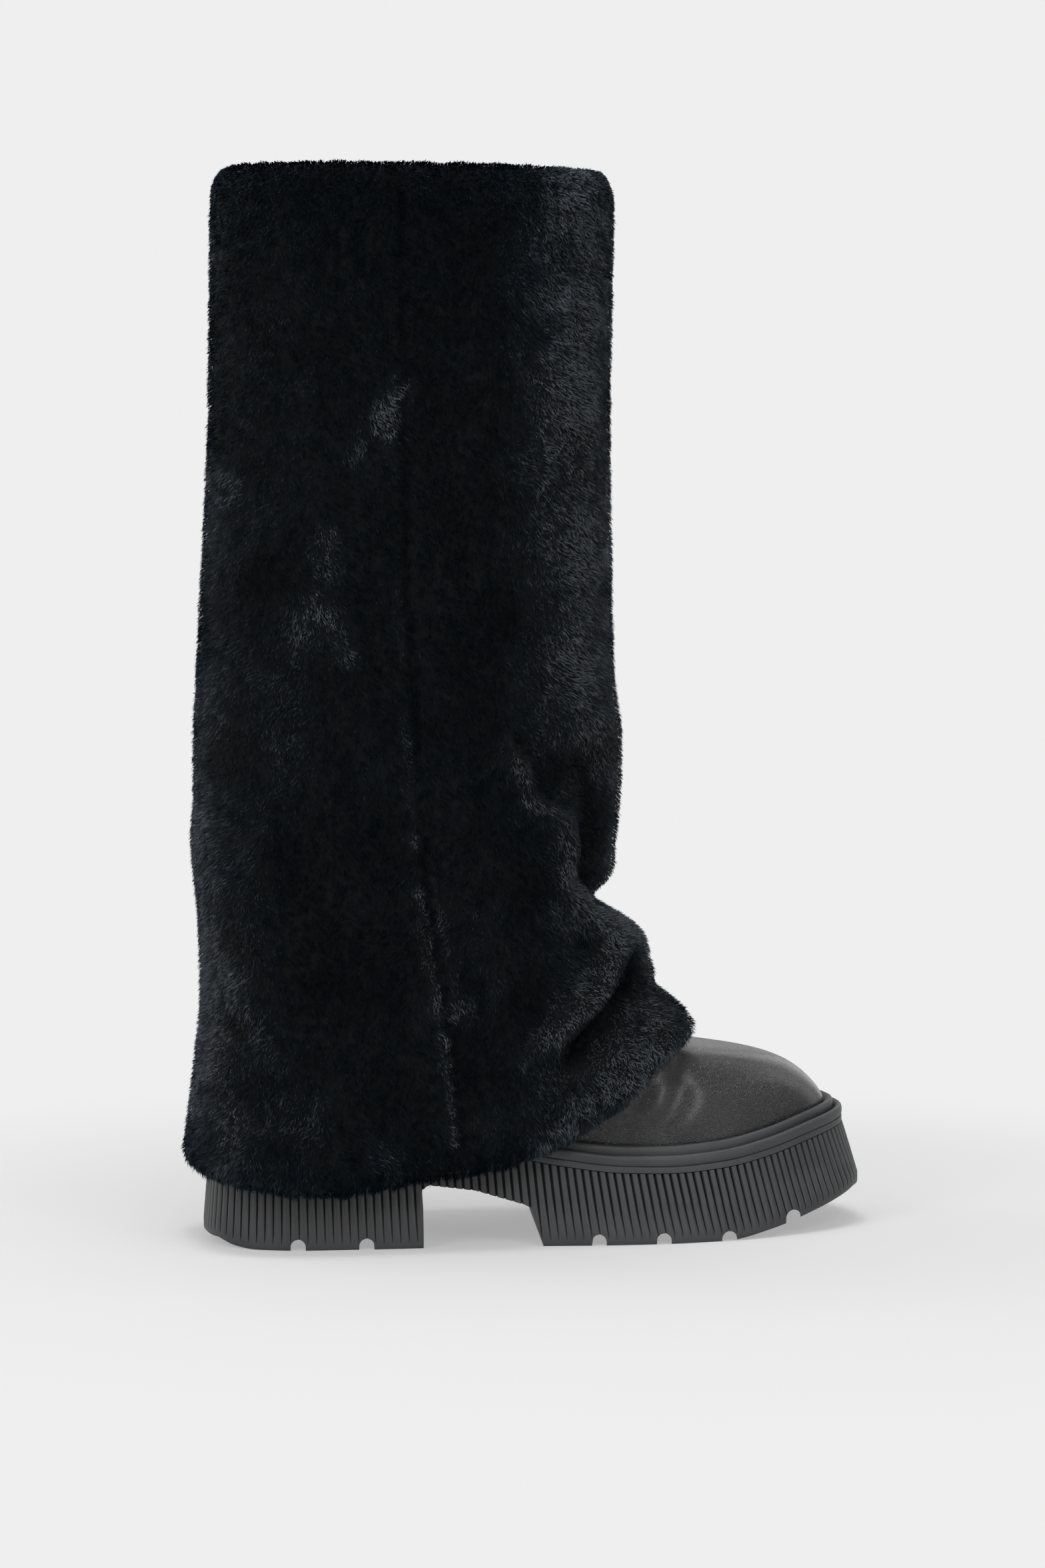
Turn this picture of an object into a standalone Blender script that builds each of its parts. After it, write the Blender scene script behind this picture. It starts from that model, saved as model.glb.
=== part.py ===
"""A right fur boot, standing empty on its sole.

A leather foot and inner shaft stand on a ribbed rubber sole with a moulded welt. A thick
lambskin tube hangs over them from a rolled top edge down to a free hem.

Metres, +Z up, +X towards the toe, +Y towards the other foot. The origin is on the floor under
the middle land of the heel.
"""

import math

import bmesh
import bpy

# Sole: its plan at the top of the ribbed wall
SOLE_LENGTH = 0.2762
HEEL_BACK = 0.0352
BALL_HALF_WIDTH = 0.052
SOLE_SQUARENESS = 2.85

# Sole: heights, and how far the wall spreads towards the floor
BED_HEIGHT = 0.0454
TOE_SPRING = 0.0162
WALL_FLARE = 0.0070
TREAD_EDGE = 0.0014
TREAD_BORDER = 0.0024

# Ribs of the side wall
RIB_PITCH = 0.0034
RIB_DEPTH = 0.0012
RIB_TOP_WIDTH = 0.70
RIB_FOOT_WIDTH = 0.84
RIB_LEAN = 0.012
RIB_FOOT_DEPTH = 0.35
LEAN_PEAK = 6.75

# Arch between the heel and the forefoot block
ARCH_BACK_HEIGHT = 0.0262
ARCH_FRONT_HEIGHT = 0.0175
ARCH_CORNER = 0.003
ARCH_SKEW = 0.17
BLOCK_LEAN = 0.005

# Cross channels of the tread
CHANNEL_WIDTH = 0.0066
CHANNEL_HEIGHT = 0.0046

# Fits and walls
GAP = 0.0003
LEATHER = 0.0020
FUR = 0.0085
INSOLE_THICKNESS = 0.0040

# Welt: a plain strip, a wide band and an inset bead
WELT_INSET = 0.0080
WELT_HEIGHT = 0.0112

# Foot and shaft
FOOT_RISE = 0.117
SHAFT_RISE = 0.392
LIP_RISE = 0.0138
MEDIAL_FOLD_SHIFT = 0.007

# Points round one loop of the welt, upper, insole and shaft
AROUND = 48
DENSE = 240
ROWS_OUTSIDE = 21

# Edges sharper than this many degrees are shaded sharp
SHARP_ANGLE = 35.0

# Plan of the sole, in shares of its length and of the ball's half width
PLAN = (
    # along, lateral, medial, centre
    (0.00, 0.84, 0.84, 0.00),
    (0.08, 0.85, 0.84, 0.00),
    (0.20, 0.80, 0.80, 0.00),
    (0.33, 0.80, 0.76, 0.00),
    (0.45, 0.86, 0.79, 0.00),
    (0.58, 0.96, 0.90, 0.00),
    (0.70, 1.03, 0.98, 0.02),
    (0.80, 1.04, 1.02, 0.05),
    (0.90, 1.02, 1.05, 0.10),
    (1.00, 1.00, 1.06, 0.14),
)

# Heights of the bed and the tread, and the flare, in shares of their named sizes
HEIGHTS = (
    # along, bed, tread, flare
    (0.00, 1.00, 0.22, 0.44),
    (0.02, 1.00, 0.07, 0.44),
    (0.05, 0.995, 0.00, 0.44),
    (0.28, 0.955, 0.00, 0.38),
    (0.40, 0.865, 0.00, 0.42),
    (0.50, 0.735, 0.00, 0.50),
    (0.60, 0.655, 0.00, 0.58),
    (0.68, 0.640, 0.00, 0.62),
    (0.76, 0.668, 0.00, 0.68),
    (0.84, 0.750, 0.23, 0.80),
    (0.92, 0.868, 0.60, 0.94),
    (1.00, 0.965, 1.00, 1.00),
)

# Where the arch is along the sole
HEEL_BREAST = 0.297
FOREFOOT_BACK = 0.490

# The channels: their places along the lateral wall, and how far they run askew across the sole
CHANNELS = (
    # along, skew
    (0.099, 0.18),
    (0.204, 0.18),
    (0.562, 0.28),
    (0.664, 0.28),
    (0.767, 0.28),
    (0.869, 0.28),
)

# Outside of the welt
WELT_STEPS = (
    # inset, rise
    (0.00, 0.00),
    (0.00, 0.23),
    (0.03, 0.27),
    (0.03, 0.54),
    (0.16, 0.65),
    (0.38, 0.67),
    (0.40, 0.84),
    (0.60, 0.98),
    (0.90, 1.00),
)

# Loops of the upper from above the welt to the ankle. Lengths are shares of the sole's length,
# rises of FOOT_RISE above the bed, widths of the ball's half width.
FOOT = (
    # back, back rise, front, front rise, half width, squareness, oval
    (0.026, 0.170, 0.956, 0.124, 0.845, 2.85, 0.00),
    (0.024, 0.270, 0.938, 0.168, 0.805, 2.70, 0.05),
    (0.026, 0.370, 0.903, 0.222, 0.760, 2.60, 0.15),
    (0.030, 0.460, 0.842, 0.260, 0.720, 2.50, 0.28),
    (0.033, 0.545, 0.762, 0.282, 0.695, 2.45, 0.42),
    (0.035, 0.630, 0.684, 0.332, 0.685, 2.40, 0.56),
    (0.035, 0.720, 0.618, 0.430, 0.685, 2.40, 0.70),
    (0.034, 0.830, 0.563, 0.560, 0.692, 2.40, 0.85),
    (0.029, 1.000, 0.533, 0.785, 0.702, 2.35, 1.00),
    (0.022, 1.255, 0.536, 1.110, 0.740, 2.40, 1.00),
)

# Inside of the fur shaft from hem to top. Rises are shares of SHAFT_RISE above the bed.
SHAFT = (
    # place, back, back rise, front, front rise, half width, squareness
    (0.00, -0.005, -0.0357, 0.692, 0.1000, 0.975, 3.90),
    (0.06, -0.006, -0.0179, 0.702, 0.1150, 0.980, 3.80),
    (0.12, -0.004, 0.0051, 0.688, 0.1340, 0.975, 3.50),
    (0.20, 0.001, 0.0408, 0.657, 0.1531, 0.960, 3.00),
    (0.30, 0.010, 0.1020, 0.636, 0.1837, 0.942, 2.90),
    (0.40, 0.018, 0.1633, 0.618, 0.2143, 0.923, 2.80),
    (0.50, 0.016, 0.2296, 0.598, 0.2500, 0.904, 2.70),
    (0.60, 0.008, 0.3061, 0.595, 0.3112, 0.885, 2.60),
    (0.70, 0.005, 0.4031, 0.600, 0.4031, 0.865, 2.50),
    (0.80, 0.0155, 0.5663, 0.592, 0.5663, 0.846, 2.45),
    (0.90, 0.0295, 0.7704, 0.5895, 0.7704, 0.827, 2.40),
    (1.00, 0.034, 1.0000, 0.595, 1.0000, 0.808, 2.40),
)

# The fur's rolled hem: places on the shaft, and shares of FUR and of the folds
HEM_ROLL = (
    # place, out, folds
    (0.000, 0.45, 0.50),
    (0.015, 0.85, 0.80),
)

# The fur's rolled top edge, in shares of FUR and of LIP_RISE
TOP_ROLL = (
    # out, rise
    (0.90, 0.46),
    (0.58, 0.86),
    (0.05, 1.00),
)

# Places where the upper follows the shaft, and loops of the shaft's inside from the top down
COLLAR_LEVELS = (0.80, 0.90, 1.00)
INSIDE_LEVELS = (0.90, 0.80, 0.70, 0.60, 0.53, 0.47, 0.40, 0.30, 0.20, 0.12, 0.05)
OUTSIDE_START = 0.05
INSIDE_FOLDS = 0.5
LIP_CORNER = 0.5

# How far up from its back to its front a loop of the shaft has come
HEM_RISE = (
    # along, rise
    (0.00, 0.00),
    (0.10, -0.06),
    (0.21, -0.105),
    (0.32, -0.06),
    (0.43, 0.01),
    (0.55, 0.05),
    (0.64, 0.13),
    (0.73, 0.24),
    (0.80, 0.39),
    (0.87, 0.57),
    (0.93, 0.80),
    (1.00, 1.00),
)

# Folds of the fur, seen from the side. Heights and spreads are in shares of FUR, and points in
# shares of the sole's length and of SHAFT_RISE above the bed.
FOLDS = (
    # height, spread, points
    (0.55, 0.95, ((0.440, 0.405), (0.452, 0.366), (0.487, 0.345), (0.520, 0.338), (0.530, 0.310))),
    (0.60, 0.90, ((0.530, 0.310), (0.522, 0.288), (0.536, 0.270), (0.575, 0.245), (0.600, 0.222))),
    (0.70, 0.90, ((0.600, 0.222), (0.640, 0.200), (0.650, 0.175), (0.600, 0.160), (0.520, 0.135))),
    (0.45, 1.00, ((0.520, 0.135), (0.480, 0.110), (0.440, 0.090))),
    (-0.60, 1.00, ((0.560, 0.400), (0.565, 0.350), (0.560, 0.300))),
    (-1.20, 0.90, ((0.550, 0.276), (0.595, 0.252), (0.650, 0.244))),
    (-0.30, 0.75, ((0.690, 0.152), (0.640, 0.140), (0.590, 0.120))),
    (0.30, 0.90, ((0.750, 0.120), (0.715, 0.100), (0.660, 0.065), (0.600, 0.038))),
    (0.30, 1.60, ((0.640, 0.430), (0.640, 0.340))),
    (0.35, 1.50, ((0.020, 0.310), (0.045, 0.215), (0.060, 0.110))),
    (-0.25, 1.20, ((0.070, 0.300), (0.095, 0.200))),
)


def clear_scene():
    for item in list(bpy.data.objects):
        bpy.data.objects.remove(item, do_unlink=True)


def slopes(xs, ys):
    """Slopes that keep a curve through a table free of overshoot."""
    steps = [(ys[i + 1] - ys[i]) / (xs[i + 1] - xs[i]) for i in range(len(xs) - 1)]
    inner = []
    for before, after in zip(steps, steps[1:]):
        level = before * after <= 0
        inner.append(0.0 if level else 2 * before * after / (before + after))
    return [steps[0]] + inner + [steps[-1]]


def read(table, place, column):
    """A smooth reading of one column of a table at a place between its rows."""
    xs = [row[0] for row in table]
    ys = [row[column] for row in table]
    tilt = slopes(xs, ys)
    place = min(max(place, xs[0]), xs[-1])
    k = 0
    while k < len(xs) - 2 and place > xs[k + 1]:
        k += 1
    h = xs[k + 1] - xs[k]
    s = (place - xs[k]) / h
    start = ys[k] * (1 + 2 * s) * (1 - s) ** 2 + h * tilt[k] * s * (1 - s) ** 2
    end = ys[k + 1] * s * s * (3 - 2 * s) + h * tilt[k + 1] * s * s * (s - 1)
    return start + end


def along(x):
    """The share of the sole's length at x."""
    return min(max((x + HEEL_BACK) / SOLE_LENGTH, 0.0), 1.0)


def bed(x):
    return BED_HEIGHT * read(HEIGHTS, along(x), 1)


def tread(x):
    return TOE_SPRING * read(HEIGHTS, along(x), 2)


def flare(x):
    return WALL_FLARE * read(HEIGHTS, along(x), 3)


def loop_curve(back, front, half, squareness, oval):
    """One closed plan curve, from the back along the lateral side and home on the medial one.

    oval runs from 0, the plan of the sole, to 1, an even oval.
    """
    points = []
    for i in range(DENSE):
        turn = 2 * math.pi * i / DENSE
        reach = abs(math.cos(turn)) ** (2 / squareness)
        t = 0.5 - 0.5 * math.copysign(reach, math.cos(turn))
        side = 1 if i <= DENSE // 2 else 2
        width = (1 - oval) * read(PLAN, t, side) + oval
        centre = (1 - oval) * read(PLAN, t, 3) * BALL_HALF_WIDTH
        bulge = half * width * abs(math.sin(turn)) ** (2 / squareness)
        y = centre - bulge if side == 1 else centre + bulge
        points.append((back + (front - back) * t, y))
    return points


def walk(points, shares):
    """Points and outward normals at shares of the way along each side of a closed curve."""
    half = len(points) // 2
    lateral = points[: half + 1]
    medial = [points[0]] + points[:half - 1:-1]
    found = []
    for side, share in shares:
        path = lateral if side == 0 else medial
        runs = [math.dist(a, b) for a, b in zip(path, path[1:])]
        left = share * sum(runs)
        k = 0
        while k < len(runs) - 1 and left > runs[k]:
            left -= runs[k]
            k += 1
        s = left / runs[k]
        a, b = path[k], path[k + 1]
        dx, dy = (b[0] - a[0]) / runs[k], (b[1] - a[1]) / runs[k]
        normal = (dy, -dx) if side == 0 else (-dy, dx)
        if share in (0, 1):
            normal = (-1.0, 0.0) if share == 0 else (1.0, 0.0)
        found.append(((a[0] + (b[0] - a[0]) * s, a[1] + (b[1] - a[1]) * s), normal))
    return found


def even_shares(count):
    """Even steps round a loop: out to the toe on the lateral side, home on the medial one."""
    half = count // 2
    out = [(0, i / half) for i in range(half + 1)]
    home = [(1, i / half) for i in range(half - 1, 0, -1)]
    return out + home


def offset_loop(walked, distance):
    """Moves each point of a walked loop out along its normal."""
    return [(p[0] + n[0] * distance, p[1] + n[1] * distance) for p, n in walked]


def sole_plan():
    back = -HEEL_BACK
    return loop_curve(back, back + SOLE_LENGTH, BALL_HALF_WIDTH, SOLE_SQUARENESS, 0.0)


def fill_between(mesh, lower, upper):
    """Faces between two closed rings with the same number of points."""
    count = len(lower)
    for i in range(count):
        j = (i + 1) % count
        mesh.faces.new((lower[i], lower[j], upper[j], upper[i]))


def fill_across(mesh, ring):
    """Closes a ring with strips from its lateral side over to its medial side."""
    count = len(ring)
    half = count // 2
    mesh.faces.new((ring[0], ring[1], ring[-1]))
    for i in range(1, half - 1):
        mesh.faces.new((ring[i], ring[i + 1], ring[count - i - 1], ring[count - i]))
    mesh.faces.new((ring[half - 1], ring[half], ring[half + 1]))


def finish_mesh(name, mesh):
    """Makes an object of a bmesh, all in triangles and with its faces out."""
    bmesh.ops.triangulate(mesh, faces=mesh.faces[:])
    bmesh.ops.recalc_face_normals(mesh, faces=mesh.faces[:])
    data = bpy.data.meshes.new(name)
    mesh.to_mesh(data)
    mesh.free()
    return bpy.data.objects.new(name, data)


def loft(name, rings, closed_ends):
    """A solid through rings of points: a closed tube, or a body capped at both ends."""
    mesh = bmesh.new()
    rows = [[mesh.verts.new(point) for point in ring] for ring in rings]
    for lower, upper in zip(rows, rows[1:]):
        fill_between(mesh, lower, upper)
    if closed_ends:
        fill_across(mesh, rows[0])
        fill_across(mesh, rows[-1])
    else:
        fill_between(mesh, rows[-1], rows[0])
    return finish_mesh(name, mesh)


def prism(name, near, far):
    """A cutter between two outlines of the same number of corners."""
    mesh = bmesh.new()
    rows = [[mesh.verts.new(point) for point in ring] for ring in (near, far)]
    fill_between(mesh, rows[0], rows[1])
    mesh.faces.new(rows[0])
    mesh.faces.new(rows[1])
    return finish_mesh(name, mesh)


def make_material(name, colour, roughness):
    material = bpy.data.materials.new(name)
    material.use_nodes = True
    shader = material.node_tree.nodes["Principled BSDF"]
    shader.inputs["Base Color"].default_value = (*colour, 1.0)
    shader.inputs["Roughness"].default_value = roughness
    shader.inputs["Metallic"].default_value = 0.0
    return material


def place(item, collection, material):
    collection.objects.link(item)
    item.data.materials.append(material)
    item.data.shade_smooth()
    item.data.set_sharp_from_angle(angle=math.radians(SHARP_ANGLE))


def rib_ring(plan, half, lands, depth, lean, heights):
    """One ring of ribs: two corners and a groove bottom for each, all round the sole."""
    shares = []
    for i in range(2 * half):
        for land in (0.0, lands, (1.0 + lands) / 2):
            share = (i + land) / half
            shares.append((0, share) if i < half else (1, 2 - share))
    return place_ring(plan, shares, lean, (0.0, 0.0, depth), heights)


def place_ring(plan, shares, lean, depths, height):
    """Points of the sole's wall, leaning and spreading by the same share of the way down."""
    leaned = [(side, s + RIB_LEAN * lean * LEAN_PEAK * s * s * (1 - s)) for side, s in shares]
    ring = []
    for i, (point, normal) in enumerate(walk(plan, leaned)):
        out = flare(point[0]) * lean - depths[i % len(depths)]
        x, y = point[0] + normal[0] * out, point[1] + normal[1] * out
        ring.append((x, y, height(x)))
    return ring


def join_ribs(mesh, ribs, border):
    """Faces from a ring with three points a rib to a ring with one."""
    count = len(border)
    for i in range(count):
        start, end, groove = ribs[3 * i], ribs[3 * i + 1], ribs[3 * i + 2]
        after = ribs[(3 * i + 3) % len(ribs)]
        here, there = border[i], border[(i + 1) % count]
        mesh.faces.new((here, end, start))
        mesh.faces.new((here, groove, end))
        mesh.faces.new((here, there, groove))
        mesh.faces.new((there, after, groove))


def make_sole_body():
    """The ribbed sole before the arch and the channels are cut."""
    plan = sole_plan()
    around = sum(math.dist(a, b) for a, b in zip(plan, plan[1:] + plan[:1]))
    half = round(around / RIB_PITCH / 2)
    even = even_shares(2 * half)
    taper = 2 * TREAD_BORDER
    top = rib_ring(plan, half, RIB_TOP_WIDTH, RIB_DEPTH, 0.0, bed)
    foot = rib_ring(plan, half, RIB_FOOT_WIDTH, RIB_DEPTH * RIB_FOOT_DEPTH, 1.0, lambda x: tread(x) + taper)
    border = place_ring(plan, even, 1.0, (0.0,), lambda x: tread(x) + TREAD_BORDER)
    edge = place_ring(plan, even, 1.0, (TREAD_EDGE,), tread)
    mesh = bmesh.new()
    rows = [[mesh.verts.new(point) for point in ring] for ring in (edge, border, foot, top)]
    fill_between(mesh, rows[0], rows[1])
    join_ribs(mesh, rows[2], rows[1])
    fill_between(mesh, rows[2], rows[3])
    fill_across(mesh, rows[0])
    fill_across(mesh, rows[3])
    return finish_mesh("outsole", mesh)


def cut_across(name, outline, skew, tilt, cutters):
    """A cutter through the sole from side to side, with each corner's own skew and tilt."""
    reach = 2 * BALL_HALF_WIDTH
    near = [(x - skew * share * reach, -reach, z - tilt * share * reach) for x, z, share in outline]
    far = [(x + skew * share * reach, reach, z + tilt * share * reach) for x, z, share in outline]
    cutter = prism(name, near, far)
    cutters.objects.link(cutter)
    cutter.display_type = "WIRE"
    cutter.hide_render = True
    return cutter


def arch_outline():
    """The arch from the heel's straight breast to the slanting back of the forefoot block."""
    back = -HEEL_BACK + HEEL_BREAST * SOLE_LENGTH
    front = -HEEL_BACK + FOREFOOT_BACK * SOLE_LENGTH
    points = [(back, -BED_HEIGHT, 0.0)]
    for turn in (0.0, 30.0, 60.0, 90.0):
        bend = math.radians(turn)
        x = back + ARCH_CORNER * (1 - math.cos(bend))
        z = ARCH_BACK_HEIGHT - ARCH_CORNER * (1 - math.sin(bend))
        points.append((x, z, 0.0))
    points.append((front - ARCH_CORNER, ARCH_FRONT_HEIGHT, 1.0))
    points.append((front, ARCH_FRONT_HEIGHT - ARCH_CORNER / 2, 1.0))
    points.append((front + BLOCK_LEAN, 0.0, 1.0))
    points.append((front + BLOCK_LEAN, -BED_HEIGHT, 1.0))
    return points


def channel_middle(share, skew):
    """Where a channel is half way across the sole, and how steeply the tread rises along it."""
    lateral = -HEEL_BACK + share * SOLE_LENGTH
    shift = skew * BALL_HALF_WIDTH
    tilt = (tread(lateral + 2 * shift) - tread(lateral)) / (2 * BALL_HALF_WIDTH)
    return lateral + shift, tilt


def channel_outline(middle):
    """A channel with upright sides and a round top."""
    ground = tread(middle)
    radius = CHANNEL_WIDTH / 2
    points = [(middle - radius, ground - BED_HEIGHT / 2, 1.0)]
    for turn in range(0, 181, 30):
        bend = math.radians(turn)
        x = middle - radius * math.cos(bend)
        points.append((x, ground + CHANNEL_HEIGHT - radius * (1 - math.sin(bend)), 1.0))
    points.append((middle + radius, ground - BED_HEIGHT / 2, 1.0))
    return points


def make_outsole(parts, cutters):
    sole = make_sole_body()
    place(sole, parts, make_material("black rubber", (0.022, 0.023, 0.025), 0.55))
    tools = [cut_across("arch cutter", arch_outline(), ARCH_SKEW, 0.0, cutters)]
    for number, (share, skew) in enumerate(CHANNELS):
        middle, tilt = channel_middle(share, skew)
        tools.append(cut_across(f"channel cutter {number}", channel_outline(middle), skew, tilt, cutters))
    for tool in tools:
        cut = sole.modifiers.new(tool.name, "BOOLEAN")
        cut.operation = "DIFFERENCE"
        cut.solver = "EXACT"
        cut.object = tool


def inset_ring(inset, rise):
    """A loop that follows the sole's plan, inset from it, at a rise above the bed."""
    walked = walk(sole_plan(), even_shares(AROUND))
    return [(x, y, bed(x) + rise) for x, y in offset_loop(walked, -inset)]


def make_welt(parts):
    inner = WELT_INSET - GAP
    rings = [inset_ring(inset * WELT_INSET, GAP + rise * (WELT_HEIGHT - GAP)) for inset, rise in WELT_STEPS]
    rings += [inset_ring(inner, WELT_HEIGHT), inset_ring(inner, GAP)]
    welt = loft("welt", rings, False)
    place(welt, parts, make_material("welt rubber", (0.024, 0.025, 0.027), 0.5))


def foot_ring(row):
    """A sloping loop of the foot, from the heel's counter over to the vamp."""
    back, back_rise, front, front_rise, half, squareness, oval = row
    start = -HEEL_BACK + back * SOLE_LENGTH
    end = -HEEL_BACK + front * SOLE_LENGTH
    curve = loop_curve(start, end, half * BALL_HALF_WIDTH, squareness, oval)
    ring = []
    for (x, y), _ in walk(curve, even_shares(AROUND)):
        rise = back_rise + (front_rise - back_rise) * (x - start) / (end - start)
        ring.append((x, y, BED_HEIGHT + rise * FOOT_RISE))
    return ring


def fold_height(x, y, z):
    """How far the fur's folds lift or sink its surface at a point."""
    lift, sink = 0.0, 0.0
    shift = MEDIAL_FOLD_SHIFT * min(max(y / BALL_HALF_WIDTH, 0.0), 1.0)
    here = (x, z - shift)
    for height, spread, points in FOLDS:
        line = [(-HEEL_BACK + a * SOLE_LENGTH, BED_HEIGHT + b * SHAFT_RISE) for a, b in points]
        away = min(distance_to(here, a, b) for a, b in zip(line, line[1:]))
        relief = height * FUR * math.exp(-((away / (spread * FUR)) ** 2))
        lift, sink = max(lift, relief), min(sink, relief)
    return lift + sink


def distance_to(point, a, b):
    """The distance from a point to the stretch between a and b."""
    dx, dz = b[0] - a[0], b[1] - a[1]
    s = ((point[0] - a[0]) * dx + (point[1] - a[1]) * dz) / (dx * dx + dz * dz)
    s = min(max(s, 0.0), 1.0)
    return math.dist(point, (a[0] + s * dx, a[1] + s * dz))


def shaft_ring(level, out, folds=0.0, rise=0.0):
    """A loop of the shaft: its inner face moved out, with a share of the folds."""
    start, end = (-HEEL_BACK + read(SHAFT, level, k) * SOLE_LENGTH for k in (1, 3))
    low, high = (BED_HEIGHT + read(SHAFT, level, k) * SHAFT_RISE for k in (2, 4))
    half = read(SHAFT, level, 5) * BALL_HALF_WIDTH
    curve = loop_curve(start, end, half, read(SHAFT, level, 6), 1.0)
    ring = []
    for (x, y), normal in walk(curve, even_shares(AROUND)):
        z = low + (high - low) * read(HEM_RISE, (x - start) / (end - start), 1)
        reach = out + folds * fold_height(x + normal[0] * out, y, z) if folds else out
        ring.append((x + normal[0] * reach, y + normal[1] * reach, z + rise))
    return ring


def cross(a, b):
    return (a[1] * b[2] - a[2] * b[1], a[2] * b[0] - a[0] * b[2], a[0] * b[1] - a[1] * b[0])


def line_inside(rings, wall, flat_rows):
    """The inner face of a wall: each point moved in square to the surface.

    Rows in flat_rows keep their height, so that the wall's edges stay level.
    """
    inner = []
    for r, ring in enumerate(rings):
        below, above = rings[max(r - 1, 0)], rings[min(r + 1, len(rings) - 1)]
        row = []
        for i, point in enumerate(ring):
            before, after = ring[i - 1], ring[(i + 1) % len(ring)]
            round_it = [after[k] - before[k] for k in range(3)]
            up_it = [above[i][k] - below[i][k] for k in range(3)]
            normal = list(cross(round_it, up_it))
            if r in flat_rows:
                normal[2] = 0.0
            size = math.hypot(*normal)
            row.append(tuple(point[k] - wall * normal[k] / size for k in range(3)))
        inner.append(row)
    return inner


def make_upper(parts):
    """The leather foot and its inner shaft, one hollow piece with a wall of even thickness."""
    rings = [inset_ring(WELT_INSET, GAP), inset_ring(WELT_INSET, WELT_HEIGHT)]
    rings += [foot_ring(row) for row in FOOT]
    rings += [shaft_ring(level, -GAP) for level in COLLAR_LEVELS]
    last = len(rings) - 1
    inner = line_inside(rings, LEATHER, (0, 1, last))
    upper = loft("upper", rings + inner[::-1], False)
    place(upper, parts, make_material("black leather", (0.020, 0.020, 0.022), 0.42))


def make_insole(parts):
    inset = WELT_INSET + LEATHER + GAP
    rings = [inset_ring(inset, GAP), inset_ring(inset, GAP + INSOLE_THICKNESS)]
    insole = loft("insole", rings, True)
    place(insole, parts, make_material("insole leather", (0.035, 0.033, 0.032), 0.7))


def make_shaft(parts):
    """The fur tube: hem, folded outside, rolled top edge, lip over the upper, inside."""
    rings = [shaft_ring(level, out * FUR, folds) for level, out, folds in HEM_ROLL]
    for i in range(ROWS_OUTSIDE + 1):
        level = OUTSIDE_START + (1.0 - OUTSIDE_START) * i / ROWS_OUTSIDE
        rings.append(shaft_ring(level, FUR, 1.0))
    for out, rise in TOP_ROLL:
        rings.append(shaft_ring(1.0, out * FUR, 0.0, rise * LIP_RISE))
    lip = -(GAP + LEATHER)
    rings.append(shaft_ring(1.0, lip, 0.0, LIP_CORNER * LIP_RISE))
    rings.append(shaft_ring(1.0, lip, 0.0, GAP))
    rings.append(shaft_ring(1.0, 0.0, 0.0, GAP))
    rings += [shaft_ring(level, 0.0, INSIDE_FOLDS) for level in INSIDE_LEVELS]
    shaft = loft("shaft", rings, False)
    place(shaft, parts, make_material("black lambskin", (0.012, 0.013, 0.015), 0.85))


def main():
    clear_scene()
    parts = bpy.data.collections.new("lambskin boot")
    cutters = bpy.data.collections.new("cutters")
    for collection in (parts, cutters):
        bpy.context.scene.collection.children.link(collection)
    make_outsole(parts, cutters)
    make_welt(parts)
    make_upper(parts)
    make_insole(parts)
    make_shaft(parts)


main()
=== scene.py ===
"""The looks of a right fur boot: pile, leather, welt and ribbed sole, on a pale floor.

Metres, in the part's own frame: +Z up, +X towards the toe, +Y towards the other foot. The
origin is on the floor under the heel.
"""

import math

import bpy
import numpy as np
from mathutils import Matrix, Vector


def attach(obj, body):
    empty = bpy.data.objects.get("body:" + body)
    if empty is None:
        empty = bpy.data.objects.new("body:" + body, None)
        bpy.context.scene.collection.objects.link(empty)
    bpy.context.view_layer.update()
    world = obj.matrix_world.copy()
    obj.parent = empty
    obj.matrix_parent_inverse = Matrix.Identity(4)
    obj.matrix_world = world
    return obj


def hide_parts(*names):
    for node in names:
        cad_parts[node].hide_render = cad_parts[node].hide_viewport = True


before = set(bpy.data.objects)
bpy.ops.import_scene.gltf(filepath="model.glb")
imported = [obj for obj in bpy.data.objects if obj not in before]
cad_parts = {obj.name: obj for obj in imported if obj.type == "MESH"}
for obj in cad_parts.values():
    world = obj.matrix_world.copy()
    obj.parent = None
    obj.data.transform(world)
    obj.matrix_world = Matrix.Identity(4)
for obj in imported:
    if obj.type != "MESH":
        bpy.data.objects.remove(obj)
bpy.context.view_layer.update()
ROOT = "root"

# Camera: where it stands, what it looks at, and its lens
CAMERA_PLACE = (-0.2947, -1.7051, 0.2909)
CAMERA_TARGET = (0.099, 0.0, 0.1909)
CAMERA_LENS = 94.24
CAMERA_SENSOR = 36.0

# Sole: its plan at the top of the ribbed wall
SOLE_LENGTH = 0.2762
HEEL_BACK = 0.0352
BALL_HALF_WIDTH = 0.052
SOLE_SQUARENESS = 2.85

# Sole: heights, and how far the wall spreads towards the floor
BED_HEIGHT = 0.0454
TOE_SPRING = 0.0162
WALL_FLARE = 0.0070
TREAD_EDGE = 0.0014
TREAD_BORDER = 0.0024

# Ribs of the side wall
RIB_PITCH = 0.0034
RIB_DEPTH = 0.0025
RIB_TOP_WIDTH = 0.70
RIB_FOOT_WIDTH = 0.84
RIB_LEAN = 0.012
RIB_FOOT_DEPTH = 0.35
LEAN_PEAK = 6.75
RIB_ROWS = 14

# Arch between the heel and the forefoot block
ARCH_BACK_HEIGHT = 0.0262
ARCH_FRONT_HEIGHT = 0.0175
ARCH_CORNER = 0.003
ARCH_SKEW = 0.17
BLOCK_LEAN = 0.005
HEEL_BREAST = 0.297
FOREFOOT_BACK = 0.490

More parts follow.
